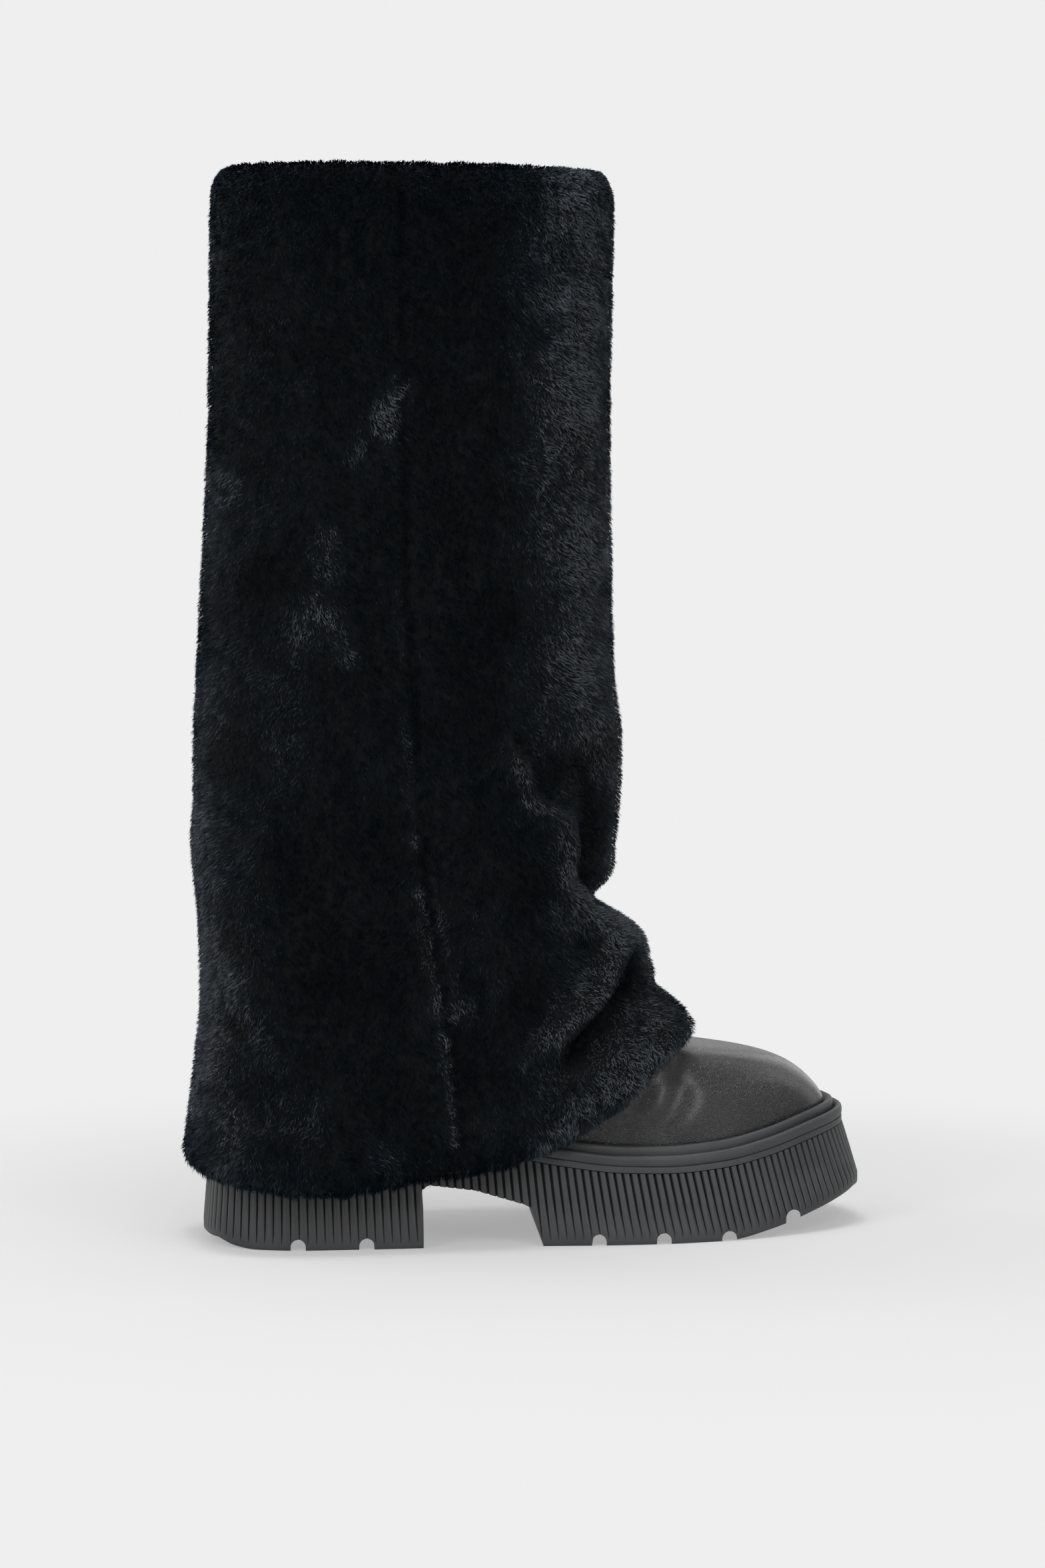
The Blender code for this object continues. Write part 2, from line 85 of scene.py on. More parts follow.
# Cross channels of the tread: their size, their places along the lateral wall, and how far
# they run askew across the sole
CHANNEL_WIDTH = 0.0064
CHANNEL_HEIGHT = 0.0048
CHANNELS = (
    # along, skew
    (0.099, 0.18),
    (0.204, 0.18),
    (0.562, 0.28),
    (0.664, 0.28),
    (0.767, 0.28),
    (0.869, 0.28),
)

# Fits and walls
GAP = 0.0003
LEATHER = 0.0020
FUR = 0.0085
PILE = 0.0021

# Welt, foot and shaft
WELT_INSET = 0.0080
WELT_HEIGHT = 0.0112
FOOT_RISE = 0.117
SHAFT_RISE = 0.392
LIP_RISE = 0.0138
MEDIAL_FOLD_SHIFT = 0.007

# Points round one loop, and rows up a surface
DENSE = 960
WELT_AROUND = 360
UPPER_AROUND = 180
UPPER_STEPS = 6
UPPER_ROUNDING = 12
FUR_AROUND = 240
FUR_ROWS = 150

# Edges sharper than these angles stay sharp, in degrees
SOLE_SHARP = 42
WELT_SHARP = 50
UPPER_SHARP = 50
FUR_SHARP = 70

# Pile: hairs in all, their usual size and lift in degrees, and how deep they root in the skin
HAIRS = 380000
HAIR_PIECES = ("pile_heel", "pile_lateral", "pile_shin", "pile_medial")
HAIR_LENGTH = 0.0029
HAIR_WIDTH = 0.00031
HAIR_LIFT = 47.0
HAIR_ROOT = 0.0004
HAIR_SEED = 11

# Surfaces: noise cells to the metre, and the depth of the grain
SAND_SCALE = 2600.0
SAND_DEPTH = 0.00012
GRAIN_SCALE = 1150.0
PORE_SCALE = 4200.0
GRAIN_DEPTH = 0.00022

# Plan of the sole, in shares of its length and of the ball's half width
PLAN = np.array((
    # along, lateral, medial, centre
    (0.00, 0.84, 0.84, 0.00),
    (0.08, 0.85, 0.84, 0.00),
    (0.20, 0.80, 0.80, 0.00),
    (0.33, 0.80, 0.76, 0.00),
    (0.45, 0.86, 0.79, 0.00),
    (0.58, 0.96, 0.90, 0.00),
    (0.70, 1.03, 0.98, 0.02),
    (0.80, 1.04, 1.02, 0.05),
    (0.90, 1.02, 1.05, 0.10),
    (1.00, 1.00, 1.06, 0.14),
))

# Heights of the bed and the tread, and the flare, in shares of their named sizes
HEIGHTS = np.array((
    # along, bed, tread, flare
    (0.00, 1.00, 0.22, 0.44),
    (0.02, 1.00, 0.07, 0.44),
    (0.05, 0.995, 0.00, 0.44),
    (0.28, 0.955, 0.00, 0.38),
    (0.40, 0.865, 0.00, 0.42),
    (0.50, 0.735, 0.00, 0.50),
    (0.60, 0.655, 0.00, 0.58),
    (0.68, 0.640, 0.00, 0.62),
    (0.76, 0.668, 0.00, 0.68),
    (0.84, 0.750, 0.23, 0.80),
    (0.92, 0.868, 0.60, 0.94),
    (1.00, 0.965, 1.00, 1.00),
))

# Outside of the welt: a strip, a rounded band, a step and a bead against the leather
WELT_STEPS = (
    # inset, rise
    (0.000, 0.00),
    (0.000, 0.20),
    (0.010, 0.222),
    (0.070, 0.245),
    (0.030, 0.270),
    (0.000, 0.31),
    (-0.010, 0.40),
    (-0.005, 0.50),
    (0.025, 0.59),
    (0.090, 0.650),
    (0.180, 0.680),
    (0.270, 0.670),
    (0.360, 0.610),
    (0.410, 0.480),
    (0.460, 0.480),
    (0.475, 0.620),
    (0.480, 0.760),
    (0.495, 0.870),
    (0.550, 0.955),
    (0.640, 0.995),
    (0.740, 1.00),
    (0.840, 0.960),
    (0.930, 0.870),
)

# Rib of the side wall: places across land and groove, and the share of the groove's depth there
RIB_LAND = ((0.00, 0.14), (0.10, 0.00), (0.50, -0.04), (0.90, 0.00), (1.00, 0.14))
RIB_GROOVE = ((0.16, 0.94), (0.50, 1.00), (0.84, 0.94))

# Loops of the upper from above the welt to the ankle. Lengths are shares of the sole's length,
# rises of FOOT_RISE above the bed, widths of the ball's half width.
FOOT = (
    # back, back rise, front, front rise, half width, squareness, oval
    (0.026, 0.170, 0.956, 0.124, 0.845, 2.85, 0.00),
    (0.024, 0.270, 0.938, 0.168, 0.805, 2.70, 0.05),
    (0.026, 0.370, 0.903, 0.222, 0.760, 2.60, 0.15),
    (0.030, 0.460, 0.842, 0.260, 0.720, 2.50, 0.28),
    (0.033, 0.545, 0.762, 0.282, 0.695, 2.45, 0.42),
    (0.035, 0.630, 0.684, 0.332, 0.685, 2.40, 0.56),
    (0.035, 0.720, 0.618, 0.430, 0.685, 2.40, 0.70),
    (0.034, 0.830, 0.563, 0.560, 0.692, 2.40, 0.85),
    (0.029, 1.000, 0.533, 0.785, 0.702, 2.35, 1.00),
    (0.022, 1.255, 0.536, 1.110, 0.740, 2.40, 1.00),
)
COLLAR_LEVELS = (0.80, 0.90, 1.00)

# Inside of the fur shaft from hem to top. Rises are shares of SHAFT_RISE above the bed.
SHAFT = np.array((
    # place, back, back rise, front, front rise, half width, squareness
    (0.00, -0.005, -0.0357, 0.692, 0.1000, 0.975, 3.90),
    (0.06, -0.006, -0.0179, 0.702, 0.1150, 0.980, 3.80),
    (0.12, -0.004, 0.0051, 0.688, 0.1340, 0.975, 3.50),
    (0.20, 0.001, 0.0408, 0.657, 0.1531, 0.960, 3.00),
    (0.30, 0.010, 0.1020, 0.636, 0.1837, 0.942, 2.90),
    (0.40, 0.018, 0.1633, 0.618, 0.2143, 0.923, 2.80),
    (0.50, 0.016, 0.2296, 0.598, 0.2500, 0.904, 2.70),
    (0.60, 0.008, 0.3061, 0.595, 0.3112, 0.885, 2.60),
    (0.70, 0.005, 0.4031, 0.600, 0.4031, 0.865, 2.50),
    (0.80, 0.0155, 0.5663, 0.592, 0.5663, 0.846, 2.45),
    (0.90, 0.0295, 0.7704, 0.5895, 0.7704, 0.827, 2.40),
    (1.00, 0.034, 1.0000, 0.595, 1.0000, 0.808, 2.40),
))

# The fur's rolled edges: places on the shaft or rises of LIP_RISE, shares of FUR and of the folds
HEM_ROLL = (
    # place, out, folds
    (0.000, 0.10, 0.50),
    (0.003, 0.45, 0.60),
    (0.010, 0.72, 0.75),
    (0.022, 0.90, 0.90),
    (0.036, 0.98, 1.00),
)
TOP_ROLL = (
    # out, rise
    (0.98, 0.06),
    (0.94, 0.20),
    (0.86, 0.36),
    (0.72, 0.54),
    (0.52, 0.68),
    (0.28, 0.77),
    (0.02, 0.81),
    (-0.22, 0.78),
)
OUTSIDE_START = 0.05
INSIDE_LEVELS = (0.90, 0.80, 0.70, 0.60, 0.53, 0.47, 0.40, 0.30, 0.20, 0.12, 0.05)

# How far up from its back to its front a loop of the shaft has come
HEM_RISE = np.array((
    # along, rise
    (0.00, 0.00),
    (0.10, -0.06),
    (0.21, -0.105),
    (0.32, -0.06),
    (0.43, 0.01),
    (0.55, 0.05),
    (0.64, 0.13),
    (0.73, 0.24),
    (0.80, 0.39),
    (0.87, 0.57),
    (0.93, 0.80),
    (1.00, 1.00),
))

# Folds of the fur, seen from the side. Heights and spreads are in shares of FUR: behind is the
# heel's or upper side of the line, ahead the toe's or lower side. Points are in shares of the
# sole's length and of SHAFT_RISE above the bed.
FOLDS = (
    # height, behind, ahead, points
    (0.62, 1.15, 0.42, ((0.440, 0.405), (0.455, 0.368), (0.490, 0.348), (0.522, 0.334), (0.532, 0.310))),
    (0.60, 1.00, 0.45, ((0.532, 0.310), (0.528, 0.285), (0.545, 0.268), (0.575, 0.245), (0.600, 0.222))),
    (0.62, 1.00, 0.90, ((0.600, 0.222), (0.640, 0.205), (0.650, 0.175))),
    (0.62, 0.95, 0.36, ((0.606, 0.214), (0.612, 0.195), (0.585, 0.168), (0.545, 0.140), (0.500, 0.112))),
    (0.42, 1.00, 0.50, ((0.500, 0.112), (0.470, 0.096), (0.430, 0.085))),
    (-0.60, 1.00, 1.00, ((0.560, 0.400), (0.572, 0.350), (0.565, 0.305))),
    (-1.20, 0.90, 0.90, ((0.550, 0.276), (0.595, 0.252), (0.650, 0.244))),
    (-0.50, 0.55, 0.90, ((0.632, 0.176), (0.606, 0.155), (0.570, 0.124), (0.530, 0.100))),
    (0.32, 0.90, 0.90, ((0.750, 0.120), (0.715, 0.100), (0.660, 0.065), (0.600, 0.038))),
    (0.30, 1.60, 1.60, ((0.640, 0.430), (0.640, 0.340))),
    (0.35, 1.50, 1.50, ((0.020, 0.310), (0.045, 0.215), (0.060, 0.110))),
    (-0.25, 1.20, 1.20, ((0.070, 0.300), (0.095, 0.200))),
)

# Finer creases that lie in and beside the folds, in the same shares
CREASES = (
    # height, behind, ahead, points
    (-0.24, 0.50, 0.50, ((0.545, 0.205), (0.556, 0.190), (0.552, 0.172))),
    (0.14, 0.70, 0.40, ((0.430, 0.410), (0.438, 0.385), (0.446, 0.365))),
    (0.10, 0.80, 0.80, ((0.300, 0.560), (0.330, 0.440), (0.350, 0.330))),
    (-0.10, 1.00, 1.00, ((0.180, 0.700), (0.200, 0.520), (0.180, 0.360))),
    (0.14, 1.20, 1.20, ((0.130, 0.240), (0.170, 0.120), (0.160, 0.010))),
    (-0.12, 0.90, 0.90, ((0.240, 0.160), (0.230, 0.060), (0.240, -0.020))),
    (0.12, 1.00, 1.00, ((0.400, 0.180), (0.420, 0.080), (0.430, 0.010))),
    (-0.10, 0.80, 0.80, ((0.010, 0.120), (0.020, 0.060), (0.060, 0.000))),
)

# The side seam of the fur, in the same shares
SEAM_DEPTH = 0.15
SEAM_SPREAD = 0.0021
SEAM_WAVES = ((0.0010, 620.0, 0.0), (0.0007, 1630.0, 1.0))
SEAM = (
    (0.260, 1.037), (0.262, 0.892), (0.265, 0.614), (0.271, 0.542), (0.277, 0.450), (0.284, 0.357),
    (0.296, 0.257), (0.313, 0.177), (0.331, 0.113), (0.340, 0.029), (0.348, -0.030),
)

# Wrinkles of the vamp. Heights are in shares of LEATHER, spreads in millimetres.
VAMP_FOLDS = (
    # height, behind, ahead, points
    (-0.42, 4.5, 3.0, ((0.706, 0.078), (0.704, 0.045), (0.684, 0.019), (0.655, 0.001))),
    (-0.30, 3.5, 3.5, ((0.640, 0.045), (0.622, 0.018), (0.606, 0.000))),
    (0.32, 4.0, 3.5, ((0.685, 0.066), (0.664, 0.037), (0.642, 0.018))),
    (0.36, 4.0, 7.0, ((0.726, 0.060), (0.733, 0.030), (0.702, 0.007))),
    (-0.22, 6.0, 8.0, ((0.715, 0.090), (0.746, 0.073), (0.794, 0.061))),
    (0.20, 3.0, 3.0, ((0.670, 0.030), (0.655, 0.012), (0.636, -0.002))),
)


def clamp(values, low, high):
    return np.minimum(np.maximum(values, low), high)


def reader(table, column):
    """A smooth reading of one column of a table, free of overshoot."""
    xs, ys = table[:, 0], table[:, column]
    steps = np.diff(ys) / np.diff(xs)
    before, after = steps[:-1], steps[1:]
    total = before + after
    inner = np.where(before * after > 0, 2 * before * after / np.where(total == 0, 1, total), 0.0)
    tilt = np.concatenate((steps[:1], inner, steps[-1:]))

    def value(at):
        at = clamp(np.asarray(at, float), xs[0], xs[-1])
        k = clamp(np.searchsorted(xs, at, side="right") - 1, 0, len(xs) - 2)
        h = xs[k + 1] - xs[k]
        s = (at - xs[k]) / h
        start = ys[k] * (1 + 2 * s) * (1 - s) ** 2 + h * tilt[k] * s * (1 - s) ** 2
        end = ys[k + 1] * s * s * (3 - 2 * s) + h * tilt[k + 1] * s * s * (s - 1)
        return start + end

    return value


plan_lateral, plan_medial, plan_centre = (reader(PLAN, k) for k in (1, 2, 3))
bed_share, tread_share, flare_share = (reader(HEIGHTS, k) for k in (1, 2, 3))
shaft_columns = [reader(SHAFT, k) for k in range(1, 7)]
hem_rise = reader(HEM_RISE, 1)


def along(x):
    return clamp((x + HEEL_BACK) / SOLE_LENGTH, 0.0, 1.0)


def bed(x):
    return BED_HEIGHT * bed_share(along(x))


def tread(x):
    return TOE_SPRING * tread_share(along(x))


def loop_curve(back, front, half, squareness, oval):
    """A closed plan curve: out along the lateral side, home along the medial one."""
    turn = 2 * np.pi * np.arange(DENSE) / DENSE
    reach = np.abs(np.cos(turn)) ** (2 / squareness)
    t = 0.5 - 0.5 * np.copysign(reach, np.cos(turn))
    lateral = np.arange(DENSE) <= DENSE // 2
    share = np.where(lateral, plan_lateral(t), plan_medial(t))
    width = (1 - oval) * share + oval
    centre = (1 - oval) * plan_centre(t) * BALL_HALF_WIDTH
    bulge = half * width * np.abs(np.sin(turn)) ** (2 / squareness)
    y = np.where(lateral, centre - bulge, centre + bulge)
    return np.stack((back + (front - back) * t, y), axis=1)


def walk(curve, places):
    """Points and outward normals at places: 0 to 1 on the lateral side, 1 to 2 on the medial."""
    closed = np.vstack((curve, curve[:1]))
    runs = np.hypot(*np.diff(closed, axis=0).T)
    half = len(curve) // 2
    first = np.concatenate(([0.0], np.cumsum(runs[:half])))
    second = np.concatenate(([0.0], np.cumsum(runs[half:])))
    gone = np.concatenate((first / first[-1], 1 + second[1:] / second[-1]))
    around = np.vstack((curve[-1:], curve, curve[:2]))
    tangent = around[2:] - around[:-2]
    length = np.hypot(*tangent.T)
    normal = np.stack((tangent[:, 1] / length, -tangent[:, 0] / length), axis=1)
    places = np.mod(places, 2.0)
    point = np.stack([np.interp(places, gone, closed[:, k]) for k in (0, 1)], axis=1)
    out = np.stack([np.interp(places, gone, normal[:, k]) for k in (0, 1)], axis=1)
    return point, out / np.hypot(*out.T)[:, None]


def even(count):
    return 2.0 * np.arange(count) / count


def sole_plan():
    return loop_curve(-HEEL_BACK, SOLE_LENGTH - HEEL_BACK, BALL_HALF_WIDTH, SOLE_SQUARENESS, 0.0)


def make_object(name, points, face_sets, material, smooth_angle=None):
    """A mesh object from points and arrays of faces, each array with one count of corners."""
    data = bpy.data.meshes.new(name)
    corners = np.concatenate([faces.ravel() for faces in face_sets]).astype(np.int32)
    sizes = np.concatenate([np.full(len(faces), faces.shape[1]) for faces in face_sets])
    starts = np.concatenate(([0], np.cumsum(sizes)[:-1])).astype(np.int32)
    data.vertices.add(len(points))
    data.vertices.foreach_set("co", points.astype(np.float32).ravel())
    data.loops.add(len(corners))
    data.loops.foreach_set("vertex_index", corners)
    data.polygons.add(len(sizes))
    data.polygons.foreach_set("loop_start", starts)
    data.update(calc_edges=True)
    item = bpy.data.objects.new(name, data)
    bpy.context.scene.collection.objects.link(item)
    data.materials.append(material)
    if smooth_angle is not None:
        data.shade_smooth()
        data.set_sharp_from_angle(angle=math.radians(smooth_angle))
    return item


def tube_faces(rows, around, closed):
    """Quads between rows of points that run round a tube, and back to the first if closed."""
    i = np.arange(rows if closed else rows - 1)[:, None]
    j = np.arange(around)[None, :]
    up, on = (i + 1) % rows, (j + 1) % around
    quads = np.stack((i * around + j, i * around + on, up * around + on, up * around + j), axis=2)
    return quads.reshape(-1, 4)


def cap_faces(first, around, flip):
    """Strips across a loop, from its lateral side to its medial side, and a tip at either end."""
    half = around // 2
    i = np.arange(1, half - 1)
    strip = first + np.stack((i, i + 1, around - i - 1, around - i), axis=1)
    tips = first + np.array(((0, 1, around - 1), (half - 1, half, half + 1)))
    return [strip[:, ::-1], tips[:, ::-1]] if flip else [strip, tips]


def smooth_rows(rings, steps):
    """More loops between the given ones, on a curve through each point that never overshoots."""
    rings = np.array(rings)
    gaps = np.linalg.norm(np.diff(rings, axis=0), axis=2).mean(axis=1)
    slope = np.diff(rings, axis=0) / gaps[:, None, None]
    before, after = slope[:-1], slope[1:]
    total = before + after
    inner = np.where(before * after > 0, 2 * before * after / np.where(total == 0, 1, total), 0.0)
    tilt = np.concatenate((slope[:1], inner, slope[-1:]))
    rows = []
    for k, gap in enumerate(gaps):
        for step in range(steps):
            s = step / steps
            start = rings[k] * (1 + 2 * s) * (1 - s) ** 2 + gap * tilt[k] * s * (1 - s) ** 2
            end = rings[k + 1] * s * s * (3 - 2 * s) + gap * tilt[k + 1] * s * s * (s - 1)
            rows.append(start + end)
    rows.append(rings[-1])
    return np.array(rows)


def grid_normals(grid):
    """Outward normals of rows of points that run up a tube."""
    round_it = np.roll(grid, -1, axis=1) - np.roll(grid, 1, axis=1)
    up_it = np.gradient(grid, axis=0)
    normal = np.cross(round_it, up_it)
    return normal / np.linalg.norm(normal, axis=2, keepdims=True)


def mottle(points, size, seed):
    """Smooth random values from -1 to 1, in blobs of about this size."""
    side = 48
    lattice = np.random.default_rng(seed).uniform(-1, 1, (side, side, side))
    at = points / size + 7.3
    cell = np.floor(at).astype(int)
    s = at - cell
    s = s * s * (3 - 2 * s)
    value = 0.0
    for corner in np.ndindex(2, 2, 2):
        weight = np.prod([s[..., k] if corner[k] else 1 - s[..., k] for k in range(3)], axis=0)
        spot = [(cell[..., k] + corner[k]) % side for k in range(3)]
        value = value + weight * lattice[tuple(spot)]
    return value


def offset_from_line(x, z, line):
    """The distance in the side view from each point to a line of shares, and which side it is on."""
    places = [(-HEEL_BACK + a * SOLE_LENGTH, BED_HEIGHT + b * SHAFT_RISE) for a, b in line]
    nearest, ahead = np.full(np.shape(x), np.inf), np.zeros(np.shape(x), bool)
    for (ax, az), (bx, bz) in zip(places, places[1:]):
        dx, dz = bx - ax, bz - az
        s = clamp(((x - ax) * dx + (z - az) * dz) / (dx * dx + dz * dz), 0.0, 1.0)
        away = np.hypot(x - ax - s * dx, z - az - s * dz)
        ahead = np.where(away < nearest, dx * (z - az) - dz * (x - ax) > 0, ahead)
        nearest = np.minimum(nearest, away)
    return nearest, ahead


def ridge(x, z, behind, ahead, line):
    """A soft ridge from 0 to 1 along a line, with its own spread in metres on either side."""
    away, in_front = offset_from_line(x, z, line)
    return np.exp(-((away / np.where(in_front, ahead, behind)) ** 2))


def seam_ridge(x, z, behind, ahead):
    """The same for the side seam, which wavers a little on its way down."""
    waver = sum(size * np.sin(rate * z + start) for size, rate, start in SEAM_WAVES)
    return ridge(x + waver, z, behind, ahead, SEAM)


def fold_height(x, y, z, folds):
    """How far the folds lift or sink the fur at each point."""
    z = z - MEDIAL_FOLD_SHIFT * clamp(y / BALL_HALF_WIDTH, 0.0, 1.0)
    lift, sink = np.zeros(np.shape(x)), np.zeros(np.shape(x))
    for height, behind, ahead, line in folds:
        relief = height * FUR * ridge(x, z, behind * FUR, ahead * FUR, line)
        lift, sink = np.maximum(lift, relief), np.minimum(sink, relief)
    return lift + sink


def shaft_ring(level, out, folds=0.0, rise=0.0, around=FUR_AROUND, creases=0.0):
    """A loop of the shaft: its inner face moved out, with shares of the folds and creases."""
    back, back_rise, front, front_rise, half, squareness = (read(level) for read in shaft_columns)
    start, end = -HEEL_BACK + back * SOLE_LENGTH, -HEEL_BACK + front * SOLE_LENGTH
    low, high = BED_HEIGHT + back_rise * SHAFT_RISE, BED_HEIGHT + front_rise * SHAFT_RISE
    curve = loop_curve(start, end, half * BALL_HALF_WIDTH, float(squareness), 1.0)
    point, normal = walk(curve, even(around))
    z = low + (high - low) * hem_rise((point[:, 0] - start) / (end - start))
    x, y = point[:, 0] + normal[:, 0] * out, point[:, 1] + normal[:, 1] * out
    reach = out + folds * fold_height(x, y, z, FOLDS)
    if creases:
        reach = reach + creases * fold_height(x, y, z, CREASES)
        reach = reach - creases * SEAM_DEPTH * FUR * seam_ridge(x, z, SEAM_SPREAD, SEAM_SPREAD)
    return np.column_stack((point + normal * reach[:, None], z + rise))


def noise_texture(tree, scale, detail=3.0):
    place = tree.nodes.new("ShaderNodeTexCoord")
    noise = tree.nodes.new("ShaderNodeTexNoise")
    noise.inputs["Scale"].default_value = scale
    noise.inputs["Detail"].default_value = detail
    tree.links.new(place.outputs["Object"], noise.inputs["Vector"])
    return noise


def colour_ramp(tree, factor, low, high, start=0.3, end=0.7):
    ramp = tree.nodes.new("ShaderNodeMapRange")
    ramp.inputs["From Min"].default_value = start
    ramp.inputs["From Max"].default_value = end
    tree.links.new(factor, ramp.inputs["Value"])
    mix = tree.nodes.new("ShaderNodeMix")
    mix.data_type = "RGBA"
    mix.inputs["A"].default_value = (*low, 1.0)
    mix.inputs["B"].default_value = (*high, 1.0)
    tree.links.new(ramp.outputs["Result"], mix.inputs["Factor"])
    return mix.outputs["Result"]


def add_bump(tree, shader, heights, strength, distance):
    """Adds several height sources up and bumps the surface with them."""
    total = heights[0]
    for height in heights[1:]:
        add = tree.nodes.new("ShaderNodeMath")
        add.operation = "ADD"
        tree.links.new(total, add.inputs[0])
        tree.links.new(height, add.inputs[1])
        total = add.outputs[0]
    bump = tree.nodes.new("ShaderNodeBump")
    bump.inputs["Strength"].default_value = strength
    bump.inputs["Distance"].default_value = distance
    tree.links.new(total, bump.inputs["Height"])
    tree.links.new(bump.outputs["Normal"], shader.inputs["Normal"])


def relax(grid, times):
    """Rounds rows of points off along the way up, keeping the first and last."""
    for _ in range(times):
        grid[1:-1] = (grid[:-2] + 2 * grid[1:-1] + grid[2:]) / 4
    return grid


def principled(name, **inputs):
    material = bpy.data.materials.new(name)
    material.use_nodes = True
    shader = material.node_tree.nodes["Principled BSDF"]
    for key, value in inputs.items():
        shader.inputs[key.replace("_", " ")].default_value = value
    return material, material.node_tree, shader


def vary_roughness(tree, shader, noise, low, high):
    ramp = tree.nodes.new("ShaderNodeMapRange")
    ramp.inputs["To Min"].default_value = low
    ramp.inputs["To Max"].default_value = high
    tree.links.new(noise, ramp.inputs["Value"])
    tree.links.new(ramp.outputs["Result"], shader.inputs["Roughness"])


def scaled(tree, value, share):
    times = tree.nodes.new("ShaderNodeMath")
    times.operation = "MULTIPLY"
    times.inputs[1].default_value = share
    tree.links.new(value, times.inputs[0])
    return times.outputs[0]


def rubber_material(name, dark, light, low, high):
    """Matt moulded rubber: a fine sandy skin with faint cloudy wear."""
    material, tree, shader = principled(name, IOR=1.5)
    clouds = noise_texture(tree, 60.0)
    sand = noise_texture(tree, SAND_SCALE, 2.0)
    colour = colour_ramp(tree, clouds.outputs["Fac"], dark, light)
    tree.links.new(colour, shader.inputs["Base Color"])
    vary_roughness(tree, shader, clouds.outputs["Fac"], low, high)
    add_bump(tree, shader, [sand.outputs["Fac"]], 0.35, SAND_DEPTH)
    return material


def leather_material(name, dark, light, low, high, grain):
    """Soft leather: pebbled cells with fine pores, and gloss that changes with the cells."""
    material, tree, shader = principled(name, IOR=1.5, Coat_Weight=0.3, Coat_Roughness=0.25)
    place = tree.nodes.new("ShaderNodeTexCoord")
    cells = tree.nodes.new("ShaderNodeTexVoronoi")
    cells.feature = "DISTANCE_TO_EDGE"
    cells.inputs["Scale"].default_value = GRAIN_SCALE
    tree.links.new(place.outputs["Object"], cells.inputs["Vector"])
    rounded = tree.nodes.new("ShaderNodeMapRange")
    rounded.interpolation_type = "SMOOTHSTEP"
    rounded.inputs["From Max"].default_value = 0.22
    tree.links.new(cells.outputs["Distance"], rounded.inputs["Value"])
    pores = noise_texture(tree, PORE_SCALE, 2.0)
    clouds = noise_texture(tree, 35.0)
    colour = colour_ramp(tree, clouds.outputs["Fac"], dark, light)
    tree.links.new(colour, shader.inputs["Base Color"])
    vary_roughness(tree, shader, clouds.outputs["Fac"], low, high)
    heights = [rounded.outputs["Result"], scaled(tree, pores.outputs["Fac"], 0.35)]
    add_bump(tree, shader, heights, grain, GRAIN_DEPTH)
    return material


def skin_material():
    """The lambskin under the pile: near black, with soft cloudy lighter nap and a velvet sheen."""
    material, tree, shader = principled("lambskin base", Specular_IOR_Level=0.1)
    shader.inputs["Sheen Weight"].default_value = 0.04
    shader.inputs["Sheen Roughness"].default_value = 0.5
    shader.inputs["Roughness"].default_value = 0.9
    clouds = noise_texture(tree, 45.0, 5.0)
    curls = noise_texture(tree, 500.0, 4.0)
    colour = colour_ramp(tree, clouds.outputs["Fac"], (0.0014, 0.0020, 0.0026), (0.004, 0.005, 0.006))
    tree.links.new(colour, shader.inputs["Base Color"])
    add_bump(tree, shader, [curls.outputs["Fac"]], 0.8, 0.0008)
    return material


# Tones of the pile from its dark depth to the lit nap. Besides the pile's own near-black colour, the lighter
# ones carry painted sheen and highlight and the darker ones painted shade
HAIR_TONES = (
    (0.0010, 0.0024, 0.0040),
    (0.0028, 0.0050, 0.0074),
    (0.0072, 0.0105, 0.0140),
    (0.0165, 0.0208, 0.0256),
    (0.0320, 0.0375, 0.0440),
    (0.0580, 0.0650, 0.0740),
)


def hair_materials():
    made = []
    for number, tone in enumerate(HAIR_TONES):
        material, _, shader = principled(f"lambskin hair {number}", Roughness=0.7)
        shader.inputs["Base Color"].default_value = (*tone, 1.0)
        shader.inputs["Specular IOR Level"].default_value = 0.03
        shader.inputs["Specular Tint"].default_value = (0.75, 0.9, 1.0, 1.0)
        made.append(material)
    return made


def rib_profile(width):
    """Places across one rib, as shares of its pitch, and the groove's depth share at each."""
    land = [(f * width, d) for f, d in RIB_LAND]
    groove = [(width + f * (1 - width), d) for f, d in RIB_GROOVE]
    return np.array(land + groove).T


def wall_ring(plan, places, lean, depth, height):
    """Points of the sole's wall, leaning and spreading by the same share of the way down."""
    share = np.where(places <= 1, places, 2 - places)
    moved = share + RIB_LEAN * lean * LEAN_PEAK * share**2 * (1 - share)
    point, normal = walk(plan, np.where(places <= 1, moved, 2 - moved))
    out = WALL_FLARE * flare_share(along(point[:, 0])) * lean - depth
    point = point + normal * out[:, None]
    return np.column_stack((point, height(point[:, 0])))


def cutter(name, outline, skew, tilt):
    """A closed bar across the sole with the given side outline, askew and tilted as told."""
    reach = 2 * BALL_HALF_WIDTH
    near = [(x - skew * share * reach, -reach, z - tilt * share * reach) for x, z, share in outline]
    far = [(x + skew * share * reach, reach, z + tilt * share * reach) for x, z, share in outline]
    count = len(outline)
    faces = [tuple(range(count - 1, -1, -1)), tuple(range(count, 2 * count))]
    faces += [(i, (i + 1) % count, (i + 1) % count + count, i + count) for i in range(count)]
    data = bpy.data.meshes.new(name)
    data.from_pydata(near + far, [], faces)
    data.validate()
    item = bpy.data.objects.new(name, data)
    bpy.context.scene.collection.objects.link(item)
    return item


